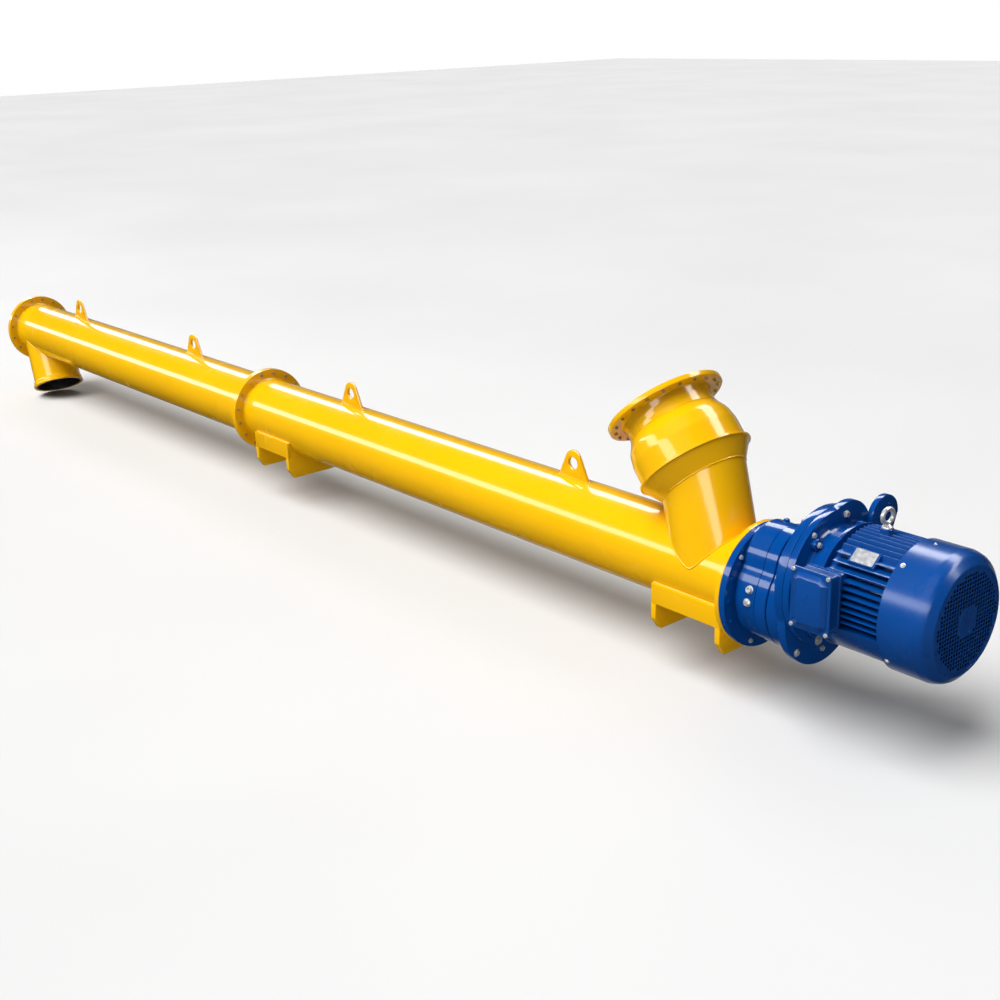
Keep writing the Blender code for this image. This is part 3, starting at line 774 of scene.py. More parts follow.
def make_closed_end():
    """End plate with its nuts, and the screw's bearing housing on it."""
    outer, start, end = disc_size("outlet_end_plate")
    turned("end_plate_disc", rounded_rod(outer, start, end, EDGE), TUBE_AXIS, YELLOW, ["outlet_end_plate"])
    nuts = bmesh.new()
    spot = tube_spot(start, AGAINST_TUBE)
    add_bolt_ring(nuts, spot, flange_bolt_circle(outer), FLANGE_BOLTS, FLANGE_BOLT, nut=True)
    foot_r, cap, foot = disc_size("end_bearing_housing")
    step = foot - BEARING_FOOT_T
    outline = [(radius, cap + depth) for radius, depth in BEARING_LINE]
    outline += [(BEARING_LINE[-1][0], step), (foot_r, step), (foot_r, foot), (0.0, foot)]
    turned("bearing_housing", rounded(outline, 0.003, 3, closed=False), TUBE_AXIS, YELLOW,
           ["end_bearing_housing"])
    add_bolt_ring(nuts, tube_spot(step, AGAINST_TUBE), BEARING_BOLTS_R, BEARING_BOLTS, BEARING_BOLT)
    crown = Matrix.Translation((cap + NIPPLE_X, 0.0, AXIS_Z + BEARING_R - 0.001))
    add_lathe(nuts, NIPPLE_LINE, crown, 12)
    piece("end_plate_nuts", nuts, DULLED)


def meeting_line(place, radius):
    """Line where the side of a leaning pipe meets the outside of the tube."""
    turn = place.to_3x3()
    along = (turn @ Vector((0.0, 0.0, 1.0))).yz
    points = []
    for u, v in circle(radius, 220):
        across = (turn @ Vector((u, v, 0.0))).yz
        half = across.dot(along)
        rest = across.length_squared - TUBE_R ** 2
        reach = (math.sqrt(half ** 2 - along.length_squared * rest) - half) / along.length_squared
        points.append(place @ Vector((u, v, reach)))
    return points


def clear_of_tube(target):
    """Trim what stands on the tube to the tube's outside."""
    cut(target, solid_rod(TUBE_R + GAP, OUTLET_X - 0.1, DRIVE_X + 0.1), TUBE_AXIS)


# Collar and liner as radius and distance from the spout's end
COLLAR_FOOT_R = SPOUT_R + GAP
COLLAR_LINE = ((COLLAR_FOOT_R, COLLAR_HEIGHT), (SPOUT_R + 0.004, COLLAR_HEIGHT), (COLLAR_R - 0.0035, 0.023),
               (COLLAR_R - 0.0030, 0.012), (COLLAR_R, 0.009), (COLLAR_R, 0.0), (COLLAR_FOOT_R, 0.0))
LINER_OUTER_R = SPOUT_R - WALL - GAP
LINER_LINE = ((LINER_R, LINER_DEPTH), (LINER_OUTER_R, LINER_DEPTH), (LINER_OUTER_R, 0.002),
              (LINER_R + 0.004, 0.002), (LINER_R + 0.003, 0.014), (LINER_R, 0.018))


def make_spout():
    """Outlet pipe, rolled collar and dark liner."""
    end = SPOUT_LENGTH
    clear_of_tube(turned("spout_pipe", pipe_wall(SPOUT_R, 0.0, end), SPOUT_PLACE, YELLOW, ["outlet_spout"]))
    collar = rounded([(radius, end - back) for radius, back in COLLAR_LINE], 0.0025, 3)
    turned("spout_collar", collar, SPOUT_PLACE, YELLOW, ["outlet_spout_collar"])
    liner = rounded([(radius, end - back) for radius, back in LINER_LINE], 0.001, 2)
    turned("spout_liner", liner, SPOUT_PLACE, RUBBER, ["outlet_spout_liner"])


def above_seam(line, softness):
    """A thin shell's closed profile from its outside line above the seam, with its corners softened."""
    outside = [(radius, SEAM_HEIGHT + height) for radius, height in line]
    outside = rounded(outside, softness, 8, closed=False)
    return outside + [(radius - WALL, height) for radius, height in reversed(outside)]


def inlet_shell(name, node, levels, place):
    """Round shell through rings: each has a radius, a height, and a slope and a stretch along its X."""
    rings = []
    for radius, height, slope, wide in levels:
        rings.append([(u * wide, v, height + slope * u) for u, v in circle(radius, 128)])
    shape = bmesh.new()
    add_loft(shape, rings, place, closed=True)
    return piece(name, shape, YELLOW, [node])


def make_inlet_bend():
    """Pipe cut aslant at the bend, and the cone from that cut, an ellipse, to the round seam."""
    slant = math.tan(BEND)
    inner = INLET_R - WALL
    pipe = ((inner, 0.0, 0.0, 1.0), (INLET_R, 0.0, 0.0, 1.0), (INLET_R, INLET_LENGTH, slant, 1.0),
            (inner, INLET_LENGTH, slant, 1.0))
    clear_of_tube(inlet_shell("inlet_pipe", "inlet_lower_pipe", pipe, INLET_PLACE))
    top = SEAM_HEIGHT - SEAM_HALF - GAP
    cone = ((INLET_R, 0.0, 0.0, BEND_STRETCH), (CONE_HIGH_R - 0.002, top - 0.003, 0.0, 1.0),
            (CONE_HIGH_R, top, 0.0, 1.0), (CONE_HIGH_R - WALL, top, 0.0, 1.0),
            (inner, 0.0, 0.0, BEND_STRETCH))
    inlet_shell("inlet_cone_shell", "inlet_cone", cone, STACK_PLACE)


INLET_NUTS = 20
INLET_NUTS_R = 0.176
INLET_NUT = 0.0058


def make_inlet():
    """Leaning pipe, cone, seam, rounded shell, neck and top flange with its nuts."""
    make_inlet_bend()
    low, high = SEAM_HEIGHT - SEAM_HALF, SEAM_HEIGHT + SEAM_HALF
    ring("inlet_seam_lip", SEAM_INNER_R, SEAM_R, low, high, STACK_PLACE, ["inlet_seam_ring"], 0.001)
    for name, node, line, softness in (("inlet_round_shell", "inlet_shell", SHELL_LINE, 0.060),
                                       ("inlet_neck_shell", "inlet_neck", NECK_LINE, 0.030)):
        turned(name, above_seam(line, softness), STACK_PLACE, YELLOW, [node])
    low = SEAM_HEIGHT + TOP_FLANGE_LOW
    ring("inlet_flange_disc", TOP_FLANGE_INNER_R, TOP_FLANGE_R, low, low + TOP_FLANGE_T, STACK_PLACE,
         ["inlet_top_flange"], 0.0025)
    nuts = bmesh.new()
    under = raised(STACK_PLACE, low) @ Matrix.Rotation(math.pi, 4, "X")
    add_bolt_ring(nuts, under, INLET_NUTS_R, INLET_NUTS, INLET_NUT, nut=True)
    piece("inlet_flange_nuts", nuts, DULLED)


# Weld beads and the fillet on the inlet, and how deep a bead sits in what it joins
BEND_WELD_R = 0.0022
NECK_WELD_R = 0.0020
NECK_WELD_UP = 0.1462
NECK_FILLET = 0.005
WELD_SINK = 0.0005


def make_pipe_welds():
    """Welds at the pipes' feet, at the inlet's bend and round its neck."""
    welds = bmesh.new()
    bend_line = circle(INLET_R + WELD_SINK, 180)
    add_bead(welds, [STACK_PLACE @ Vector((u * BEND_STRETCH, v, 0.0)) for u, v in bend_line], BEND_WELD_R)
    add_bead(welds, meeting_line(INLET_PLACE, INLET_R))
    add_bead(welds, meeting_line(SPOUT_PLACE, SPOUT_R))
    add_fillet(welds, STACK_PLACE, NECK_LINE[-1][0], SEAM_HEIGHT + TOP_FLANGE_LOW, NECK_FILLET, -1)
    joint = (NECK_LINE[0][0] - WELD_SINK, SEAM_HEIGHT + NECK_WELD_UP)
    add_lathe(welds, circle(NECK_WELD_R, 8, joint), STACK_PLACE, 96)
    piece("pipe_welds", welds, YELLOW)


LUG_TIP_R = 0.035
LUG_HOLE_R = 0.022
LUG_HOLE_DROP = 0.011

# Rims of cut plates, and the length of a bead's steps along them
PLATE_EDGE = 0.0012
BEAD_STEP = 0.003


def lug_loops(low, high):
    """Outline and hole of a lug, in X and Z about its own middle."""
    half = (high.x - low.x) / 2
    centre = high.z - LUG_TIP_R
    drop = centre - low.z
    tangent = math.atan2(-drop, half) + math.acos(LUG_TIP_R / math.hypot(half, drop))
    outline = [(-half, low.z), (half, low.z)] + arc((0.0, centre), LUG_TIP_R, tangent, math.pi - tangent, 24)
    return outline, circle(LUG_HOLE_R, 40, (0.0, centre - LUG_HOLE_DROP))


def dense_loop(path, step_length):
    """Split the sides of a closed flat path into short steps."""
    dense = []
    for start, end in zip(path, path[1:] + path[:1]):
        start, end = Vector(start), Vector(end)
        steps = max(1, round((end - start).length / step_length))
        dense += [start.lerp(end, step / steps) for step in range(steps)]
    return dense


def make_lugs():
    """Lifting lugs with a bead round the foot."""
    welds = bmesh.new()
    for number in (1, 2, 3, 4):
        low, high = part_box(f"lifting_lug_{number}")
        middle = (low.x + high.x) / 2
        half = (high.y - low.y) / 2
        shape = flat_with_holes(lug_loops(low, high), half, PLATE_EDGE)
        turn = Matrix.Translation((middle, 0.0, 0.0)) @ TO_NEAR_SIDE
        bmesh.ops.transform(shape, matrix=turn, verts=shape.verts[:])
        piece(f"lug_plate_{number}", shape, YELLOW, [f"lifting_lug_{number}"], FLAT_SHARP)
        foot = rectangle((high.x - low.x) / 2 + 0.001, half + 0.001, 0.002, 3)
        add_bead(welds, [(middle + u, v, low.z + WELD_SINK) for u, v in dense_loop(foot, BEAD_STEP)])
    piece("lug_welds", welds, YELLOW)


def saddle_outline(low, high):
    """Saddle plate across the tube, without its cradle, as Y and height over the tube's axis."""
    half = (high.y - low.y) / 2
    foot = low.z - AXIS_Z
    strip_low = SADDLE_TOP - STRIP_HEIGHT - GAP
    inner = half - STRIP_T - GAP
    right = [(half - SADDLE_SIDE_CUT, foot), (half, foot + SADDLE_RISE), (half, strip_low),
             (inner, strip_low), (inner, SADDLE_TOP)]
    return right + [(-y, z) for y, z in reversed(right)]


# Ends of the welds along a saddle's cradle, as angles round the tube
CRADLE_START = math.radians(-155)
CRADLE_END = math.radians(-25)


def make_saddle(saddle, welds):
    """Two plates that cradle the tube, and a strip along each side."""
    reach = TUBE_R + 0.001
    path = arc((0.0, AXIS_Z), reach, CRADLE_START, CRADLE_END, 90)
    for number in (1, 2):
        node = f"{saddle}_plate_{number}"
        low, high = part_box(node)
        shape = bmesh.new()
        outline = rounded(saddle_outline(low, high), 0.0015, 2)
        add_plate(shape, outline, low.x, high.x, PLATE_EDGE, TUBE_SECTION)
        clear_of_tube(piece(f"{saddle}_cradle_{number}", shape, YELLOW, [node], FLAT_SHARP))
        for x in (low.x - WELD_SINK, high.x + WELD_SINK):
            add_bead(welds, [(x, y, z) for y, z in path], closed=False)
    for side, way in (("near", -1), ("far", 1)):
        node = f"{saddle}_strip_{side}"
        low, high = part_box(node)
        y, z = (low.y + high.y) / 2, (low.z + high.z) / 2 - AXIS_Z
        corners = rectangle((high.y - low.y) / 2, (high.z - low.z) / 2, 0.0015, 3)
        shape = bmesh.new()
        add_plate(shape, [(y + u, z + v) for u, v in corners], low.x, high.x, PLATE_EDGE, TUBE_SECTION)
        piece(f"{saddle}_side_{side}", shape, YELLOW, [node], FLAT_SHARP)
        length = high.x - low.x
        edge_y = way * half_chord(reach, SADDLE_TOP)
        steps = round(length / BEAD_STEP)
        line = [(low.x + length * step / steps, edge_y, high.z) for step in range(steps + 1)]
        add_bead(welds, line, closed=False)


def make_saddles():
    """Both saddles and their welds."""
    welds = bmesh.new()
    for saddle in ("mid_saddle", "drive_saddle"):
        make_saddle(saddle, welds)
    piece("saddle_welds", welds, YELLOW)


FLIGHT_PITCH = 0.250
FLIGHT_ROOT_R = 0.0395
FLIGHT_HALF = 0.0025


def make_screw():
    """Shaft and helical flight inside the tube."""
    radius, start, end = disc_size("screw_shaft")
    turned("screw_bar", solid_rod(radius, start, end), TUBE_AXIS, STEEL, ["screw_shaft"], 64)
    low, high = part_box("screw_flight")
    outer = (high.y - low.y) / 2
    steps = 40
    turns = round((high.x - low.x - 2 * FLIGHT_HALF) / FLIGHT_PITCH)
    blade = ((FLIGHT_ROOT_R, -FLIGHT_HALF), (outer - 0.001, -FLIGHT_HALF), (outer, 0.0),
             (outer - 0.001, FLIGHT_HALF), (FLIGHT_ROOT_R, FLIGHT_HALF))
    rings = []
    for step in range(turns * steps + 1):
        angle = 2 * math.pi * step / steps
        x = low.x + FLIGHT_HALF + FLIGHT_PITCH * step / steps
        way = Vector((0.0, math.cos(angle), math.sin(angle)))
        rings.append([way * reach + Vector((x + side, 0.0, AXIS_Z)) for reach, side in blade])
    shape = bmesh.new()
    add_loft(shape, rings)
    piece("screw_blade", shape, STEEL, ["screw_flight"], 50.0)


# Blue pieces

# Point between the two round outlines of the gear housing, and how far their crease is softened
GEAR_MIDDLE = (0.0, 0.045)
GEAR_CREASE = 0.016


def gear_rings(stations):
    """Rings of the gear housing at stations, each with its own growth."""
    rings = []
    for station, grow in stations:
        circles = ((0.0, 0.0, GEAR_LOW_R + grow), (0.0, MOTOR_UP, GEAR_HIGH_R + grow))
        rings.append(at_height(joined_circles(GEAR_MIDDLE, circles, GEAR_CREASE), station))
    return rings


# Housing outlines along the drive: station, and growth over the plain housing
FRONT_CASE = ((0.0223, -0.006), (0.0285, -0.006), (0.0300, 0.0), (0.0320, 0.0008), (0.036, 0.0),
              (0.0945, 0.0), (0.0960, -0.0008), (0.0965, -0.0035), (0.0980, -0.0035))
MIDDLE_CASE = ((0.0983, -0.0035), (0.0995, -0.0035), (0.1000, 0.002), (0.1015, 0.004), (0.1385, 0.004),
               (0.1400, 0.002), (0.1405, -0.0035), (0.1420, -0.0035))
REAR_CASE = ((0.1423, -0.0035), (0.1435, -0.0035), (0.1440, 0.002), (0.1455, 0.004), (0.176, 0.004),
             (0.188, 0.0055), (0.197, 0.0085), (0.203, 0.012), (0.208, 0.0165))


def make_gear_unit():
    """Mounting flange and housings with their parting lines."""
    radius, start, end = disc_size("gearbox_mounting_flange")
    turned("gear_mounting_disc", rounded_rod(radius, start, end, 0.002), TUBE_AXIS, CAST_BLUE,
           ["gearbox_mounting_flange"])
    for name, node, stations in (("gear_front_case", "gearbox_front_housing", FRONT_CASE),
                                 ("gear_middle_case", "gearbox_ring", MIDDLE_CASE),
                                 ("gear_rear_case", "gearbox_rear_housing", REAR_CASE)):
        shape = bmesh.new()
        add_loft(shape, gear_rings(stations), DRIVE_SECTION)
        piece(name, shape, CAST_BLUE, [node], FLAT_SHARP)
    make_gear_fittings(end - DRIVE_X)


# Bolts of the mounting flange: their circle, then size and places round the screw's axis in degrees
GEAR_BOLTS_R = 0.174
BRIGHT_GEAR_BOLTS = (0.0075, (45.0, 90.0, 135.0, 247.5, 292.5))
PAINTED_GEAR_BOLTS = (0.0058, (0.0, 22.5, 157.5, 180.0, 202.5, 337.5))

# Oil plugs as station and height, and the vent plug as station, Y and height
SOCKET_PLUG = (0.075, 0.043)
HEXAGON_PLUG = (0.072, 0.004)
VENT_PLUG = (0.062, 0.030, MOTOR_UP + 0.106)

# Their turned parts as radius and height, and their hexagons as width across flats, foot and top
PLUG_WASHER = ((0.0, -0.002), (0.0125, -0.002), (0.0125, 0.0018), (0.0118, 0.0025), (0.0, 0.0025))
PLUG_SOCKET = ((0.0, 0.0025), (0.0100, 0.0025), (0.0100, 0.0075), (0.0090, 0.0090), (0.0052, 0.0090),
               (0.0048, 0.0040), (0.0, 0.0040))
PLUG_HEXAGON = (0.0165, 0.0025, 0.0085)
VENT_FOOT = ((0.0, 0.0), (0.0105, 0.0), (0.0105, 0.004), (0.0, 0.004))
VENT_HEXAGON = (0.018, 0.004, 0.009)
VENT_CAP = ((0.0, 0.009), (0.0070, 0.009), (0.0066, 0.0105), (0.0040, 0.0118), (0.0, 0.0120))


def make_gear_fittings(face):
    """Bolts round the mounting flange, two oil plugs on the near side and the vent plug on top."""
    bright, painted = bmesh.new(), bmesh.new()
    for shape, (size, turns) in ((bright, BRIGHT_GEAR_BOLTS), (painted, PAINTED_GEAR_BOLTS)):
        for degrees in turns:
            angle = math.radians(degrees)
            spot = drive_spot(face, GEAR_BOLTS_R * math.cos(angle), GEAR_BOLTS_R * math.sin(angle))
            add_bolt(shape, spot, size)
    add_lathe(bright, PLUG_SOCKET, add_plug_washer(bright, *SOCKET_PLUG), 32)
    add_hexagon(bright, add_plug_washer(bright, *HEXAGON_PLUG), *PLUG_HEXAGON)
    vent = drive_spot(*VENT_PLUG, UPRIGHT)
    add_lathe(painted, VENT_FOOT, vent, 28)
    add_hexagon(painted, vent, *VENT_HEXAGON)
    add_lathe(painted, VENT_CAP, vent, 28)
    piece("gear_bolts_painted", painted, CAST_BLUE)
    piece("gear_bolts_and_plugs", bright, ZINC)


def add_plug_washer(shape, station, height):
    """Washer of an oil plug on the case's near side. Gives the plug's place."""
    reach = GEAR_LOW_R - 0.0005
    angle = math.asin(height / reach)
    out = Matrix.Rotation(-angle, 4, "X") @ TO_NEAR_SIDE
    place = drive_spot(station, -reach * math.cos(angle), height, out)
    add_lathe(shape, PLUG_WASHER, place, 32)
    return place


FLANGE_CREASE = 0.006
FLANGE_EDGE = 0.0025

# Ear's foot on the flange as Y and height, from its inner side to its outer one
EAR_FOOT = ((EAR_CENTRE[0] - EAR_R, 0.168), (0.190, 0.105), (0.2235, 0.105))


def add_flange(shape, lobe, low, high):
    """Large flange: the circle round the motor's axis, pushed out by the lobe's circle."""
    outline = joined_circles((0.0, MOTOR_UP), (MOTOR_CIRCLE, lobe), FLANGE_CREASE, 260)
    add_plate(shape, outline, low, high, FLANGE_EDGE, DRIVE_SECTION)


def make_big_flanges():
    """The gear unit's rear flange, and the lobed adapter flange with its ear."""
    shape = bmesh.new()
    add_flange(shape, SCREW_CIRCLE, GEAR_REAR_END + GAP, REAR_FLANGE_END)
    piece("gear_rear_flange_plate", shape, CAST_BLUE, ["gearbox_rear_flange"], CAST_SHARP)
    shape = bmesh.new()
    add_flange(shape, TOP_LOBE, REAR_FLANGE_END + GAP, LOBED_END)
    ear = rounded([*EAR_FOOT, *arc(EAR_CENTRE, EAR_R, 0.0, math.pi, 28)], 0.006, 3)
    add_plate(shape, ear, EAR_START, EAR_END, FLANGE_EDGE, DRIVE_SECTION)
    piece("adapter_flange_plate", shape, CAST_BLUE, ["lobed_adapter_flange"], CAST_SHARP)
    make_flange_bolts()


# Bolts of the large flanges: circle, size and places round the motor's axis in degrees
FACE_BOLTS = (0.186, 0.0085, (124, 158, 198, 236, 268, 304, 340, 16))
BRIGHT_FACE_BOLT = 124
REAR_NUTS = (0.192, 0.0075, (115, 148, 32, 65))

# Single bright bolts: station, Y, height, size and washer. Then the ear's bolts as Y and height.
BRIGHT_BOLTS = (
    (LOBED_END, 0.040, MOTOR_UP + 0.180, 0.0105, WASHER_R),
    (REAR_FLANGE_END, -0.126, -0.107, 0.0090, 1.3),
    (LOBED_END, -0.059, -0.081, 0.0105, 1.5),
    (REAR_FLANGE_END, -0.008, -0.131, 0.0085, WASHER_R),
    (REAR_FLANGE_END, 0.085, -0.118, 0.0085, WASHER_R),
)
EAR_BOLT = 0.0042
EAR_BOLTS = ((0.176, 0.232), (0.196, 0.190), (0.240, 0.215), (0.226, 0.262))


def make_flange_bolts():
    """Bolts on the faces of both large flanges and of the ear, and nuts behind them."""
    bright, painted = bmesh.new(), bmesh.new()
    radius, size, turns = FACE_BOLTS
    for degrees in turns:
        shape = bright if degrees == BRIGHT_FACE_BOLT else painted
        add_bolt(shape, drive_spot(LOBED_END, *round_motor(degrees, radius)), size)
    radius, size, turns = REAR_NUTS
    for degrees in turns:
        add_bolt(painted, drive_spot(GEAR_REAR_END, *round_motor(degrees, radius), AGAINST_TUBE), size, True)
    for station, y, height, size, washer in BRIGHT_BOLTS:
        add_bolt(bright, drive_spot(station, y, height), size, washer=washer)
    for y, height in EAR_BOLTS:
        add_bolt(painted, drive_spot(EAR_END, y, height), EAR_BOLT)
    piece("adapter_flange_bolts", bright, ZINC)
    piece("adapter_flange_bolts_painted", painted, CAST_BLUE)


# Bolt bosses on the adapter: size, circle and places in degrees. Then the adapter as radius and station.
BOSS_LENGTH = 0.016
BOSS_R = 0.0175
BOSSES_R = 0.163
BOSSES = (52, 128, 232, 308)
BOSS_BOLT = 0.0085
BELL_LINE = ((0.158, 0.2593), (0.152, 0.264), (0.150, 0.272), (0.150, 0.306), (0.152, 0.311), (0.171, 0.316),
             (0.177, 0.320), (0.177, BELL_END))


def make_bell():
    """Smooth adapter between the lobed flange and the motor, with bolt bosses."""
    outline = rounded([*BELL_LINE, (0.0, BELL_END)], 0.003, 4, closed=False)
    turned("adapter_bell", [(0.0, BELL_LINE[0][1]), *outline], MOTOR_AXIS, CAST_BLUE, ["motor_adapter_bell"],
           128, SHEET_SHARP)
    bosses, bolts = bmesh.new(), bmesh.new()
    for degrees in BOSSES:
        foot = drive_spot(LOBED_END, *round_motor(degrees, BOSSES_R))
        add_lathe(bosses, rounded_rod(BOSS_R, 0.0, BOSS_LENGTH, 0.0025), foot, 32)
        add_bolt(bolts, raised(foot, BOSS_LENGTH), BOSS_BOLT)
    piece("bell_bosses", bosses, CAST_BLUE)
    piece("bell_bolts", bolts, ZINC)


# A fin's corners as share of its height and half thickness, how far its tip is cut back at the front, and
# how deep its root sits in the core
FIN_LINE = ((0.0, FIN_ROOT_HALF), (0.97, FIN_TIP_HALF), (1.0, FIN_TIP_HALF - 0.0006))
FIN_CORNERS = FIN_LINE + tuple((reach, -half) for reach, half in reversed(FIN_LINE))
FIN_CUT_BACK = 0.010
FIN_SINK = 0.004


def add_fin(shape, root, tip):
    """One tapered fin between two points of the motor's section, cut back at its front end."""
    root, tip = Vector(root), Vector(tip)
    way = (tip - root).normalized()
    side = Vector((-way.y, way.x))
    rings = []
    for station, back in ((FINS_START, FIN_CUT_BACK), (FRAME_END, 0.0)):
        spots = [(root.lerp(tip, reach) + side * half, reach) for reach, half in FIN_CORNERS]
        rings.append([(spot.x, spot.y, station + back * reach) for spot, reach in spots])
    add_loft(shape, rings, DRIVE_SECTION)


# Half of the smooth belly's angle, and how deep it sits in the core
BELLY_SPREAD = math.radians(70)
BELLY_SINK = 0.010


def make_motor_frame():
    """Round core with upright fins on top, level fins on the sides and a smooth belly."""
    shape = bmesh.new()
    add_lathe(shape, solid_rod(CORE_R, BELL_END + GAP, FRAME_END), MOTOR_AXIS, 128)
    for number in range(TOP_FIN_COUNT):
        y = (number - TOP_FIN_COUNT // 2) * TOP_FIN_PITCH
        root = half_chord(CORE_R, y) - FIN_SINK
        add_fin(shape, (y, MOTOR_UP + root), (y, MOTOR_UP + half_chord(FIN_TIP_R, y)))
    for number in range(SIDE_FIN_COUNT):
        rise = SIDE_FIN_LOWEST + number * SIDE_FIN_PITCH
        root = half_chord(CORE_R, rise) - FIN_SINK
        for way in (-1, 1):
            tip = way * half_chord(FIN_TIP_R, rise)
            add_fin(shape, (way * root, MOTOR_UP + rise), (tip, MOTOR_UP + rise))
    add_shelves(shape, rise)
    start = -math.pi / 2 - BELLY_SPREAD
    end = -math.pi / 2 + BELLY_SPREAD
    belly = arc((0.0, MOTOR_UP), BELLY_R, start, end, 44)
    belly += arc((0.0, MOTOR_UP), CORE_R - BELLY_SINK, end, start, 44)
    add_plate(shape, belly, BELL_END + 0.006, FRAME_END, 0.0015, DRIVE_SECTION)
    piece("finned_frame", shape, SHEET_BLUE, ["motor_frame"], CAST_SHARP)


# Shelf: how far its outer edge and its start stay back, its thickness outside and inside, and the width
# and depth of its root
SHELF_BACK = 0.001
SHELF_START_BACK = 0.004
SHELF_OUTER_T = 0.0038
SHELF_INNER_T = 0.0045
SHELF_ROOT = (0.008, 0.020)


def add_shelves(shape, rise):
    """Flat shelves from the highest side fins in to the outermost upright fins."""
    outer = half_chord(FIN_TIP_R, rise) - SHELF_BACK
    inner = TOP_FIN_COUNT // 2 * TOP_FIN_PITCH
    top = MOTOR_UP + rise + FIN_TIP_HALF
    width, depth = SHELF_ROOT
    corners = ((outer, top), (outer, top - SHELF_OUTER_T), (inner + width, top - SHELF_INNER_T),
               (inner, top - depth), (inner, top))
    for way in (-1, 1):
        outline = [(way * y, z) for y, z in corners]
        add_plate(shape, outline, FINS_START + SHELF_START_BACK, FRAME_END, 0.0006, DRIVE_SECTION)


NAMEPLATE_MIDDLE = (0.429, -0.1109, 0.1409)
NAMEPLATE_TILT = math.radians(40.5)
NAMEPLATE_HALF = (0.035, 0.021)
NAMEPLATE_CORNER = 0.0025
NAMEPLATE_T = 0.0012
NAMEPLATE_PAD_T = 0.026
NAMEPLATE_PAD_HALF = (NAMEPLATE_HALF[0] + 0.007, NAMEPLATE_HALF[1] + 0.003)
NAMEPLATE_PAD_CORNER = 0.003
RIVET_INSET = 0.004
RIVET_LINE = ((0.0, 0.0), (0.0018, 0.0), (0.0015, 0.0007), (0.0, 0.0010))

# Neck of the terminal box: its ends along the drive, how far its top and foot stay back, its corners and
# its root. Then the eye bolt's boss as radius and height up to its last step, and the chamfer on its top.
BOX_NECK = (0.334, 0.399)
BOX_NECK_BACK = 0.013
BOX_NECK_CORNER = 0.006
BOX_NECK_ROOT = 0.090
BOSS_LINE = ((0.0, 0.230), (0.026, 0.230), (0.0245, 0.252), (0.0205, 0.266), (0.018, 0.274))
BOSS_CHAMFER = 0.002
BOSS_TOP_R = 0.0165


def make_motor_fittings():
    """Neck of the terminal box, raised pad of the nameplate, and the eye bolt's boss."""
    shape = bmesh.new()
    low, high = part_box("terminal_box")
    start, end = BOX_NECK
    middle = Matrix.Translation((DRIVE_X + (start + end) / 2, 0.0, (low.z + high.z) / 2)) @ TO_NEAR_SIDE
    neck = rectangle((end - start) / 2, (high.z - low.z) / 2 - BOX_NECK_BACK, BOX_NECK_CORNER)
    add_plate(shape, neck, BOX_NECK_ROOT, -high.y - GAP, 0.001, middle)
    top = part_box("eye_bolt")[0].z - AXIS_Z - GAP
    boss = [*BOSS_LINE, (BOSS_LINE[-1][0], top - BOSS_CHAMFER), (BOSS_TOP_R, top), (0.0, top)]
    add_lathe(shape, boss, drive_spot(EYE_X, 0.0, 0.0, UPRIGHT), 48)
    pad = rectangle(*NAMEPLATE_PAD_HALF, NAMEPLATE_PAD_CORNER)
    add_plate(shape, pad, -NAMEPLATE_PAD_T, -NAMEPLATE_T, PLATE_EDGE, nameplate_place())
    piece("motor_pads", shape, SHEET_BLUE, (), CAST_SHARP)


def nameplate_place():
    """Place of the nameplate on the motor's near upper side, Z square to the plate."""
    station, y, rise = NAMEPLATE_MIDDLE
    along = Vector((1.0, 0.0, 0.0))
    up = Vector((0.0, math.cos(NAMEPLATE_TILT), math.sin(NAMEPLATE_TILT)))
    turn = Matrix((along, up, along.cross(up))).transposed().to_4x4()
    return drive_spot(station, y, MOTOR_UP + rise, turn)


def make_nameplate():
    """Blank plate with four rivets."""
    place = nameplate_place()
    half_u, half_v = NAMEPLATE_HALF
    shape = bmesh.new()
    add_plate(shape, rectangle(half_u, half_v, NAMEPLATE_CORNER), -NAMEPLATE_T, 0.0, 0.0003, place)
    for u, v in rectangle(half_u - RIVET_INSET, half_v - RIVET_INSET, 0.0):
        add_lathe(shape, RIVET_LINE, place @ Matrix.Translation((u, v, 0.0)), 12)
    piece("blank_nameplate", shape, ALUMINIUM)


# Cover's outside line, where its inside ends, the ends of the near-black sheet of painted shade inside it,
# and its screws in degrees with their station and radius
COVER_INNER_R = 0.1460
COVER_LINE = ((COVER_R, COVER_START), (COVER_R, 0.6350), (0.179, 0.659), (COVER_FACE_R, COVER_END),
              (COVER_INNER_R, COVER_END + 0.0005))
COVER_INSIDE_END = 0.650
SHADE_SHEET_START = 0.552
SHADE_SHEET_END = 0.662
SHADE_SHEET_T = 0.0005
COVER_SCREWS = ((36, 0.546, 0.0075), (126, 0.546, 0.0075), (216, 0.546, 0.0075), (306, 0.546, 0.0075),
                (90, 0.569, 0.0040))


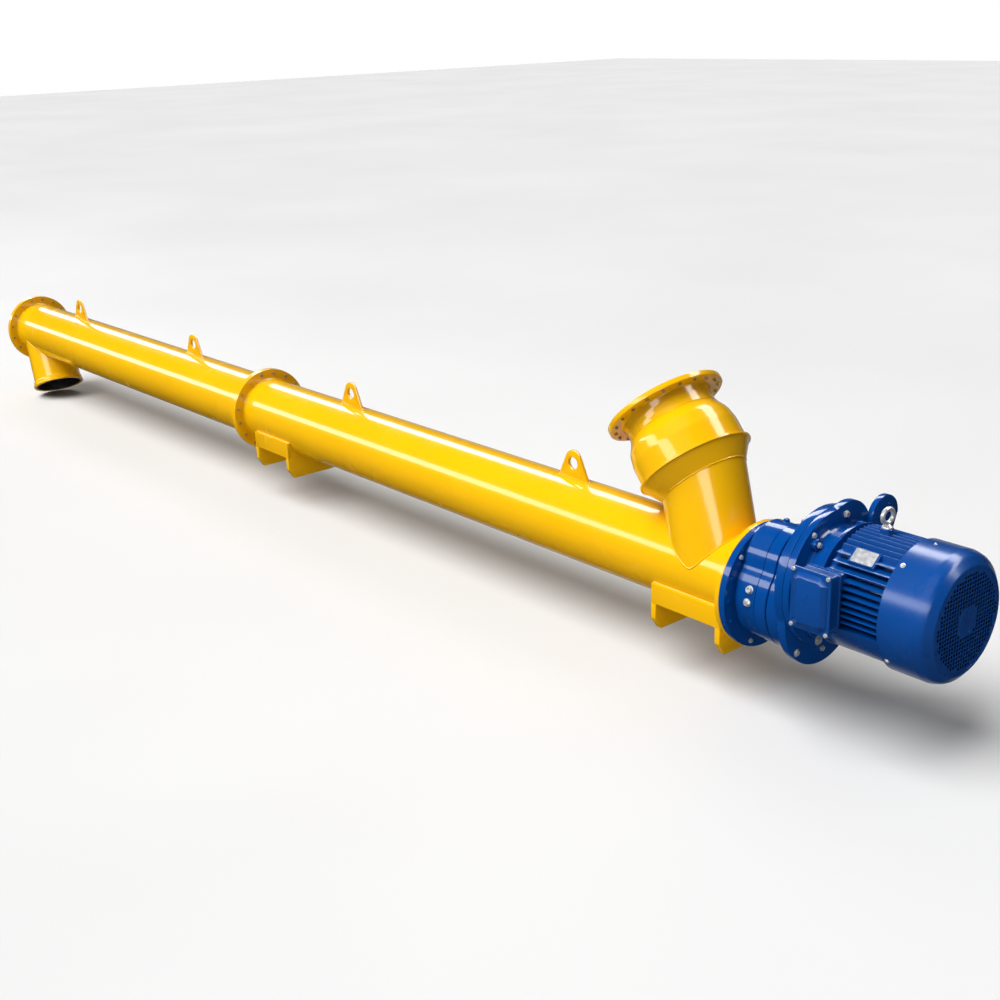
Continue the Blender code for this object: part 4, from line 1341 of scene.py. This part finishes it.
def make_fan_cover():
    """Fan cover with its rounded crown, a near-black sheet of painted shade inside it, the shield inside it
    in painted shade, and the screws that hold it.
    """
    outside = rounded(COVER_LINE, 0.030, 10, closed=False)
    inside = [(radius - COVER_WALL, station) for radius, station in outside if station < COVER_INSIDE_END]
    profile = [*outside, (COVER_INNER_R, COVER_END - COVER_WALL), *reversed(inside)]
    turned("fan_cover_sheet", profile, MOTOR_AXIS, SHEET_BLUE, ["fan_cover"], 160, SHEET_SHARP)
    # Painted shade: a near-black sheet just inside the cover darkens what shows through the grille's slots
    shade_sheet = [(radius - COVER_WALL - GAP, station) for radius, station in outside
              if SHADE_SHEET_START < station < SHADE_SHEET_END]
    shade_sheet += [(radius - SHADE_SHEET_T, station) for radius, station in reversed(shade_sheet)]
    turned("cover_painted_shade_sheet", shade_sheet, MOTOR_AXIS, SHADOW, (), 96)
    # Painted shade: the rear shield wears the near-black shade material in the blue paint's slot
    low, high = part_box("motor_rear_shield")
    shield = solid_rod(COVER_R - COVER_WALL - GAP, low.x - DRIVE_X, high.x - DRIVE_X)
    turned("rear_shield_disc", shield, MOTOR_AXIS, SHADED_BLUE, ["motor_rear_shield"], 96)
    screws = bmesh.new()
    for degrees, station, radius in COVER_SCREWS:
        add_cover_screw(screws, degrees, station, radius)
    piece("cover_screws", screws, ZINC)


# Screw's head as share of its radius and height, and how deep it sits in the cover
COVER_SCREW_LINE = ((0.0, 0.0), (1.0, 0.0), (1.0, 0.001), (0.78, 0.0016), (0.7, 0.0035), (0.4, 0.0048),
                    (0.0, 0.005))
COVER_SCREW_SINK = 0.0005


def add_cover_screw(shape, degrees, station, radius):
    """Domed screw on the cover's side."""
    angle = math.radians(degrees)
    out = Vector((0.0, math.cos(angle), math.sin(angle)))
    turn = out.to_track_quat("Z", "Y").to_matrix().to_4x4()
    place = drive_spot(station, *round_motor(degrees, COVER_R - COVER_SCREW_SINK), turn)
    add_lathe(shape, [(share * radius, height) for share, height in COVER_SCREW_LINE], place, 24)


# Grille: pitch and half size of its slots, sheet, slotted field, plain middle and rim
GRILLE_PITCH = (0.0122, 0.0118)
GRILLE_SLOT_HALF = (0.0040, 0.0043)
GRILLE_SHEET = 0.0010
GRILLE_FIELD_R = 0.1395
GRILLE_MIDDLE_R = 0.0385
GRILLE_R = 0.1458

# Plain middle of the grille, and where its foot lies from the cover's end
HUB_LINE = ((0.0, 0.0), (0.0365, 0.0), (0.0365, 0.0004), (0.0355, 0.0010), (0.0330, 0.0010),
            (0.0325, 0.0006), (0.0, 0.0006))
HUB_SINK = 0.0004


def grille_slots():
    """Outlines of the slots that lie wholly between the plain middle and the rim."""
    half_u, half_v = GRILLE_SLOT_HALF
    slot = rectangle(half_u, half_v, 0.0)
    columns, rows = (int(GRILLE_FIELD_R / pitch) + 1 for pitch in GRILLE_PITCH)
    slots = []
    for row in range(-rows, rows + 1):
        for column in range(-columns, columns + 1):
            u, v = column * GRILLE_PITCH[0], row * GRILLE_PITCH[1]
            outer = math.hypot(abs(u) + half_u, abs(v) + half_v)
            inner = math.hypot(max(abs(u) - half_u, 0.0), max(abs(v) - half_v, 0.0))
            if outer < GRILLE_FIELD_R and inner > GRILLE_MIDDLE_R:
                slots.append([(u + a, v + b) for a, b in slot])
    return slots


def make_grille():
    """Flat disc with rows of small slots round a plain middle."""
    loops = [circle(GRILLE_R, 160), *grille_slots()]
    shape = flat_with_holes(loops, GRILLE_SHEET / 2, 0.0001)
    place = raised(MOTOR_AXIS, COVER_END - GRILLE_SHEET / 2) @ Matrix.Rotation(math.pi / 2, 4, "Z")
    bmesh.ops.transform(shape, matrix=place, verts=shape.verts[:])
    piece("slotted_grille", shape, SHEET_BLUE, ["fan_grille"], FLAT_SHARP)
    turned("grille_middle", HUB_LINE, raised(MOTOR_AXIS, COVER_END - HUB_SINK), SHEET_BLUE, (), 64)


# Fan: its distance from the cover's end, its disc as radius and height, its blades' corners and ends
FAN_BACK = 0.075
FAN_LINE = ((0.0, 0.0), (0.140, 0.0), (0.140, 0.004), (0.035, 0.006), (0.035, 0.050), (0.0, 0.050))
FAN_BLADES = 9
BLADE = ((0.034, -0.0015), (0.138, -0.0015), (0.138, 0.0015), (0.034, 0.0015))
BLADE_ENDS = (0.003, 0.046)


def make_fan():
    """Cooling fan seen faintly through the slots, in the near-black of painted shade."""
    shape = bmesh.new()
    place = raised(MOTOR_AXIS, COVER_END - FAN_BACK)
    add_lathe(shape, rounded(FAN_LINE, 0.003, 3, closed=False), place, 64)
    for number in range(FAN_BLADES):
        turn = place @ Matrix.Rotation(2 * math.pi * number / FAN_BLADES, 4, "Z")
        add_loft(shape, [at_height(BLADE, height) for height in BLADE_ENDS], turn)
    piece("cooling_fan", shape, SHADOW)


# Terminal box: its corners, and its steps as inset and distance from its back and from its front
BOX_CORNER = 0.012
BOX_BACK_STEPS = ((0.001, 0.0), (0.0, 0.001), (0.0, 0.006), (0.003, 0.009))
BOX_FRONT_STEPS = ((0.004, 0.008), (0.001, 0.005), (0.0, 0.003), (0.0, 0.0))


def between_faces(back, front, back_steps, front_steps):
    """Insets and heights of steps that are measured in from the back and from the front."""
    levels = [(drop, back + depth) for drop, depth in back_steps]
    return levels + [(drop, front - depth) for drop, depth in front_steps]


def make_terminal_box():
    """Cast box with a step near its lid, and the lid."""
    low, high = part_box("terminal_box")
    place = Matrix.Translation(((low.x + high.x) / 2, 0.0, (low.z + high.z) / 2)) @ TO_NEAR_SIDE
    outline = rectangle((high.x - low.x) / 2, (high.z - low.z) / 2, BOX_CORNER, 6)
    back, front = -high.y, -low.y
    levels = between_faces(back, front, BOX_BACK_STEPS, BOX_FRONT_STEPS)
    shape = bmesh.new()
    add_loft(shape, stepped(outline, levels), place)
    piece("terminal_case", shape, SHEET_BLUE, ["terminal_box"], 34.0)
    make_terminal_lid(place)


# Lid: its rim, its panel's margin, clipped corners and steps, and its screws as radius and height
LID_RIM_T = 0.008
PANEL_MARGIN = 0.010
PANEL_CORNER = 0.020
PANEL_BEVEL = 0.014
PANEL_BACK_STEPS = ((-0.001, 0.006), (0.0, 0.0095), (0.0012, 0.011))
PANEL_FRONT_STEPS = ((PANEL_BEVEL, 0.001), (PANEL_BEVEL + 0.0025, 0.0))
LID_SCREW_INSET = 0.0085
LID_SCREW_LINE = ((0.0, 0.0), (0.0062, 0.0), (0.0062, 0.0035), (0.0048, 0.0052), (0.0, 0.0056))


def make_terminal_lid(place):
    """Lid with a raised panel that has a broad bevel and clipped corners, and a screw in each corner."""
    low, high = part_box("terminal_box_lid")
    back, front = -high.y, -low.y
    half_x, half_z = (high.x - low.x) / 2, (high.z - low.z) / 2
    shape = bmesh.new()
    add_plate(shape, rectangle(half_x, half_z, BOX_CORNER, 6), back, back + LID_RIM_T, 0.002, place)
    u, v, clip = half_x - PANEL_MARGIN, half_z - PANEL_MARGIN, PANEL_CORNER
    panel = [(-u + clip, -v), (u - clip, -v), (u, -v + clip), (u, v - clip), (u - clip, v), (-u + clip, v),
             (-u, v - clip), (-u, -v + clip)]
    rings = []
    for drop, height in between_faces(back, front, PANEL_BACK_STEPS, PANEL_FRONT_STEPS):
        rings.append(at_height(rounded(inset(panel, drop), 0.006, 3), height))
    add_loft(shape, rings, place)
    piece("terminal_lid", shape, SHEET_BLUE, ["terminal_box_lid"], FLAT_SHARP)
    screws = bmesh.new()
    for u, v in rectangle(half_x - LID_SCREW_INSET, half_z - LID_SCREW_INSET, 0.0):
        add_lathe(screws, LID_SCREW_LINE, place @ Matrix.Translation((u, v, back + LID_RIM_T)), 24)
    piece("terminal_lid_screws", screws, ZINC)


# Eye bolt: its ring's middle line, wire and height, and its collar as radius and height
EYE_RING_R = 0.0202
EYE_WIRE_R = 0.0066
EYE_RING_UP = 0.0335
EYE_COLLAR = ((0.0, 0.0), (0.015, 0.0), (0.015, 0.003), (0.0135, 0.0055), (0.0090, 0.008), (0.0080, 0.011),
              (0.0, 0.014))


def make_eye_bolt():
    """Forged lifting eye on its collar."""
    place = drive_spot(EYE_X, 0.0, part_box("eye_bolt")[0].z - AXIS_Z, UPRIGHT)
    shape = bmesh.new()
    add_lathe(shape, EYE_COLLAR, place, 40)
    section = circle(EYE_WIRE_R, 14, (EYE_RING_R, 0.0))
    rings = []
    for u, v in circle(1.0, 64):
        way = Vector((0.0, u, v))
        rings.append([way * reach + Vector((side, 0.0, 0.0)) for reach, side in section])
    add_loft(shape, rings, raised(place, EYE_RING_UP) @ Matrix.Rotation(-EYE_TURN, 4, "Z"), closed=True)
    piece("lifting_eye", shape, ZINC, ["eye_bolt"], 60.0)


# Studio


# Floor: half its width, its drop under the part, its tones to the camera with their cloud's scale, and its
# tone for other light
FLOOR_HALF = 40.0
FLOOR_DROP = 0.001
FLOOR_TONES = ((0.64, 0.64, 0.64), (0.68, 0.68, 0.68))
FLOOR_CLOUD = 0.4
FLOOR_GLOW = (0.42, 0.42, 0.42)
FLOOR_ROUGHNESS = 0.8


def make_floor():
    """Pale seamless floor. It looks paler than it is for the light that it throws back up."""
    shape = bmesh.new()
    level = cad_low.z - FLOOR_DROP
    shape.faces.new([shape.verts.new((u, v, level)) for u, v in rectangle(FLOOR_HALF, FLOOR_HALF, 0.0)])
    floor = link("floor", shape)
    recipe = Recipe("pale_floor")
    seen = recipe.nodes.new("ShaderNodeLightPath").outputs["Is Camera Ray"]
    tone = recipe.mix(seen, FLOOR_GLOW, recipe.colours(recipe.noise(FLOOR_CLOUD), *FLOOR_TONES))
    floor.data.materials.append(recipe.surface(tone, FLOOR_ROUGHNESS))
    floor.visible_glossy = False


SURROUND_LIGHT = 0.18
SURROUND_GLOSS = 0.012
BRIGHT_SIDE_GLOSS = 0.4

# Glossy paint mirrors a surround that is bright low down, beyond the far side and the outlet. For each
# axis, the direction's part where it is dark and where it is bright.
BRIGHT_SIDE = (("X", 0.0, -0.3), ("Y", 0.15, 0.5), ("Z", 0.2, 0.0))


def mirrored_strength(nodes, links):
    """Strength of the surround in a mirroring surface, by direction."""
    way = nodes.new("ShaderNodeSeparateXYZ")
    links.new(nodes.new("ShaderNodeTexCoord").outputs["Generated"], way.inputs[0])
    share = None
    for axis, dark, bright in BRIGHT_SIDE:
        span = nodes.new("ShaderNodeMapRange")
        links.new(way.outputs[axis], span.inputs["Value"])
        set_values(span, {"From Min": dark, "From Max": bright, "To Min": SURROUND_GLOSS,
                          "To Max": BRIGHT_SIDE_GLOSS})
        if share is not None:
            links.new(share, span.inputs["To Max"])
        share = span.outputs[0]
    return share


def make_surround():
    """Surround that is white to the camera, a faint light, and nearly dark in mirroring surfaces."""
    world = bpy.data.worlds.new("surround")
    world.use_nodes = True
    nodes = world.node_tree.nodes
    links = world.node_tree.links
    shown = nodes.new("ShaderNodeBackground")
    glossed = nodes.new("ShaderNodeBackground")
    lit = nodes["Background"]
    set_values(shown, {"Color": (1.0, 1.0, 1.0, 1.0)})
    set_values(lit, {"Color": (1.0, 1.0, 1.0, 1.0), "Strength": SURROUND_LIGHT})
    links.new(mirrored_strength(nodes, links), glossed.inputs["Strength"])
    path = nodes.new("ShaderNodeLightPath")
    light = lit.outputs[0]
    for kind, other in (("Is Glossy Ray", glossed), ("Is Camera Ray", shown)):
        blend = nodes.new("ShaderNodeMixShader")
        for socket, source in enumerate((path.outputs[kind], light, other.outputs[0])):
            links.new(source, blend.inputs[socket])
        light = blend.outputs[0]
    links.new(light, nodes["World Output"].inputs["Surface"])
    bpy.context.scene.world = world


# Strips: name, place, where they look, length along X, width and power
STRIPS = (
    ("high_strip", (-6.0, 1.85, 3.2), (-6.0, 0.0, 0.2), 22.0, 1.1, 640.0),
    ("near_strip", (-6.0, -2.4, 1.47), (-6.0, 0.0, 0.2), 22.0, 0.70, 265.0),
)
SKYLIGHT_POWER = 4.4
SKYLIGHT_SPREAD = math.radians(50)
SKYLIGHT_FROM = (-0.12, -0.68, 1.15)


def add_light(name, kind, power, out, along, place=(0.0, 0.0, 0.0)):
    """A light that shines away from where it stands. A sun only lights, and a panel is only mirrored."""
    light = bpy.data.lights.new(name, kind)
    light.energy = power
    lamp = bpy.data.objects.new(name, light)
    out = Vector(out).normalized()
    side = (along - out * along.dot(out)).normalized()
    turn = Matrix((side, out.cross(side), out)).transposed()
    lamp.matrix_world = Matrix.Translation(place) @ turn.to_4x4()
    lamp.visible_camera = False
    lamp.visible_glossy = kind == "AREA"
    lamp.visible_diffuse = kind == "SUN"
    bpy.context.scene.collection.objects.link(lamp)
    return light


def make_lights():
    """Wide soft skylight, and two long strips that draw the bright streaks along the tube."""
    along = Vector((1.0, 0.0, 0.0))
    sky = add_light("skylight", "SUN", SKYLIGHT_POWER, SKYLIGHT_FROM, along)
    sky.angle = SKYLIGHT_SPREAD
    for name, spot, target, length, width, power in STRIPS:
        light = add_light(name, "AREA", power, Vector(spot) - Vector(target), along, spot)
        light.shape = "RECTANGLE"
        light.size = length
        light.size_y = width


# Camera: place, where it heads from the -X axis, how far it looks down, its roll, lens, film and reach
CAMERA_PLACE = (2.453, -3.033, 1.841)
CAMERA_YAW = 0.70
CAMERA_DIP = 0.34
CAMERA_ROLL = -0.03
CAMERA_LENS = 49.7
CAMERA_FILM = 36.0
CAMERA_REACH = 200.0


def make_camera():
    """Camera at the photograph's angle: from the motor's end, on the near side, a little above."""
    level = math.cos(CAMERA_DIP)
    ahead = Vector((-math.cos(CAMERA_YAW) * level, math.sin(CAMERA_YAW) * level, -math.sin(CAMERA_DIP)))
    lens = bpy.data.cameras.new("camera")
    lens.lens = CAMERA_LENS
    lens.sensor_width = CAMERA_FILM
    lens.clip_end = CAMERA_REACH
    camera = bpy.data.objects.new("camera", lens)
    bpy.context.scene.collection.objects.link(camera)
    turn = (-ahead).to_track_quat("Z", "Y").to_matrix().to_4x4() @ Matrix.Rotation(CAMERA_ROLL, 4, "Z")
    camera.matrix_world = Matrix.Translation(CAMERA_PLACE) @ turn
    bpy.context.scene.camera = camera


for make in (
    make_camera, make_tube, make_flanges, make_closed_end, make_spout, make_inlet, make_pipe_welds,
    make_lugs, make_saddles, make_screw, make_gear_unit, make_big_flanges, make_bell, make_motor_frame,
    make_motor_fittings, make_nameplate, make_fan_cover, make_grille, make_fan, make_terminal_box,
    make_eye_bolt, make_floor, make_surround, make_lights,
):
    make()
bpy.context.scene.view_settings.view_transform = "Standard"

bpy.context.view_layer.update()
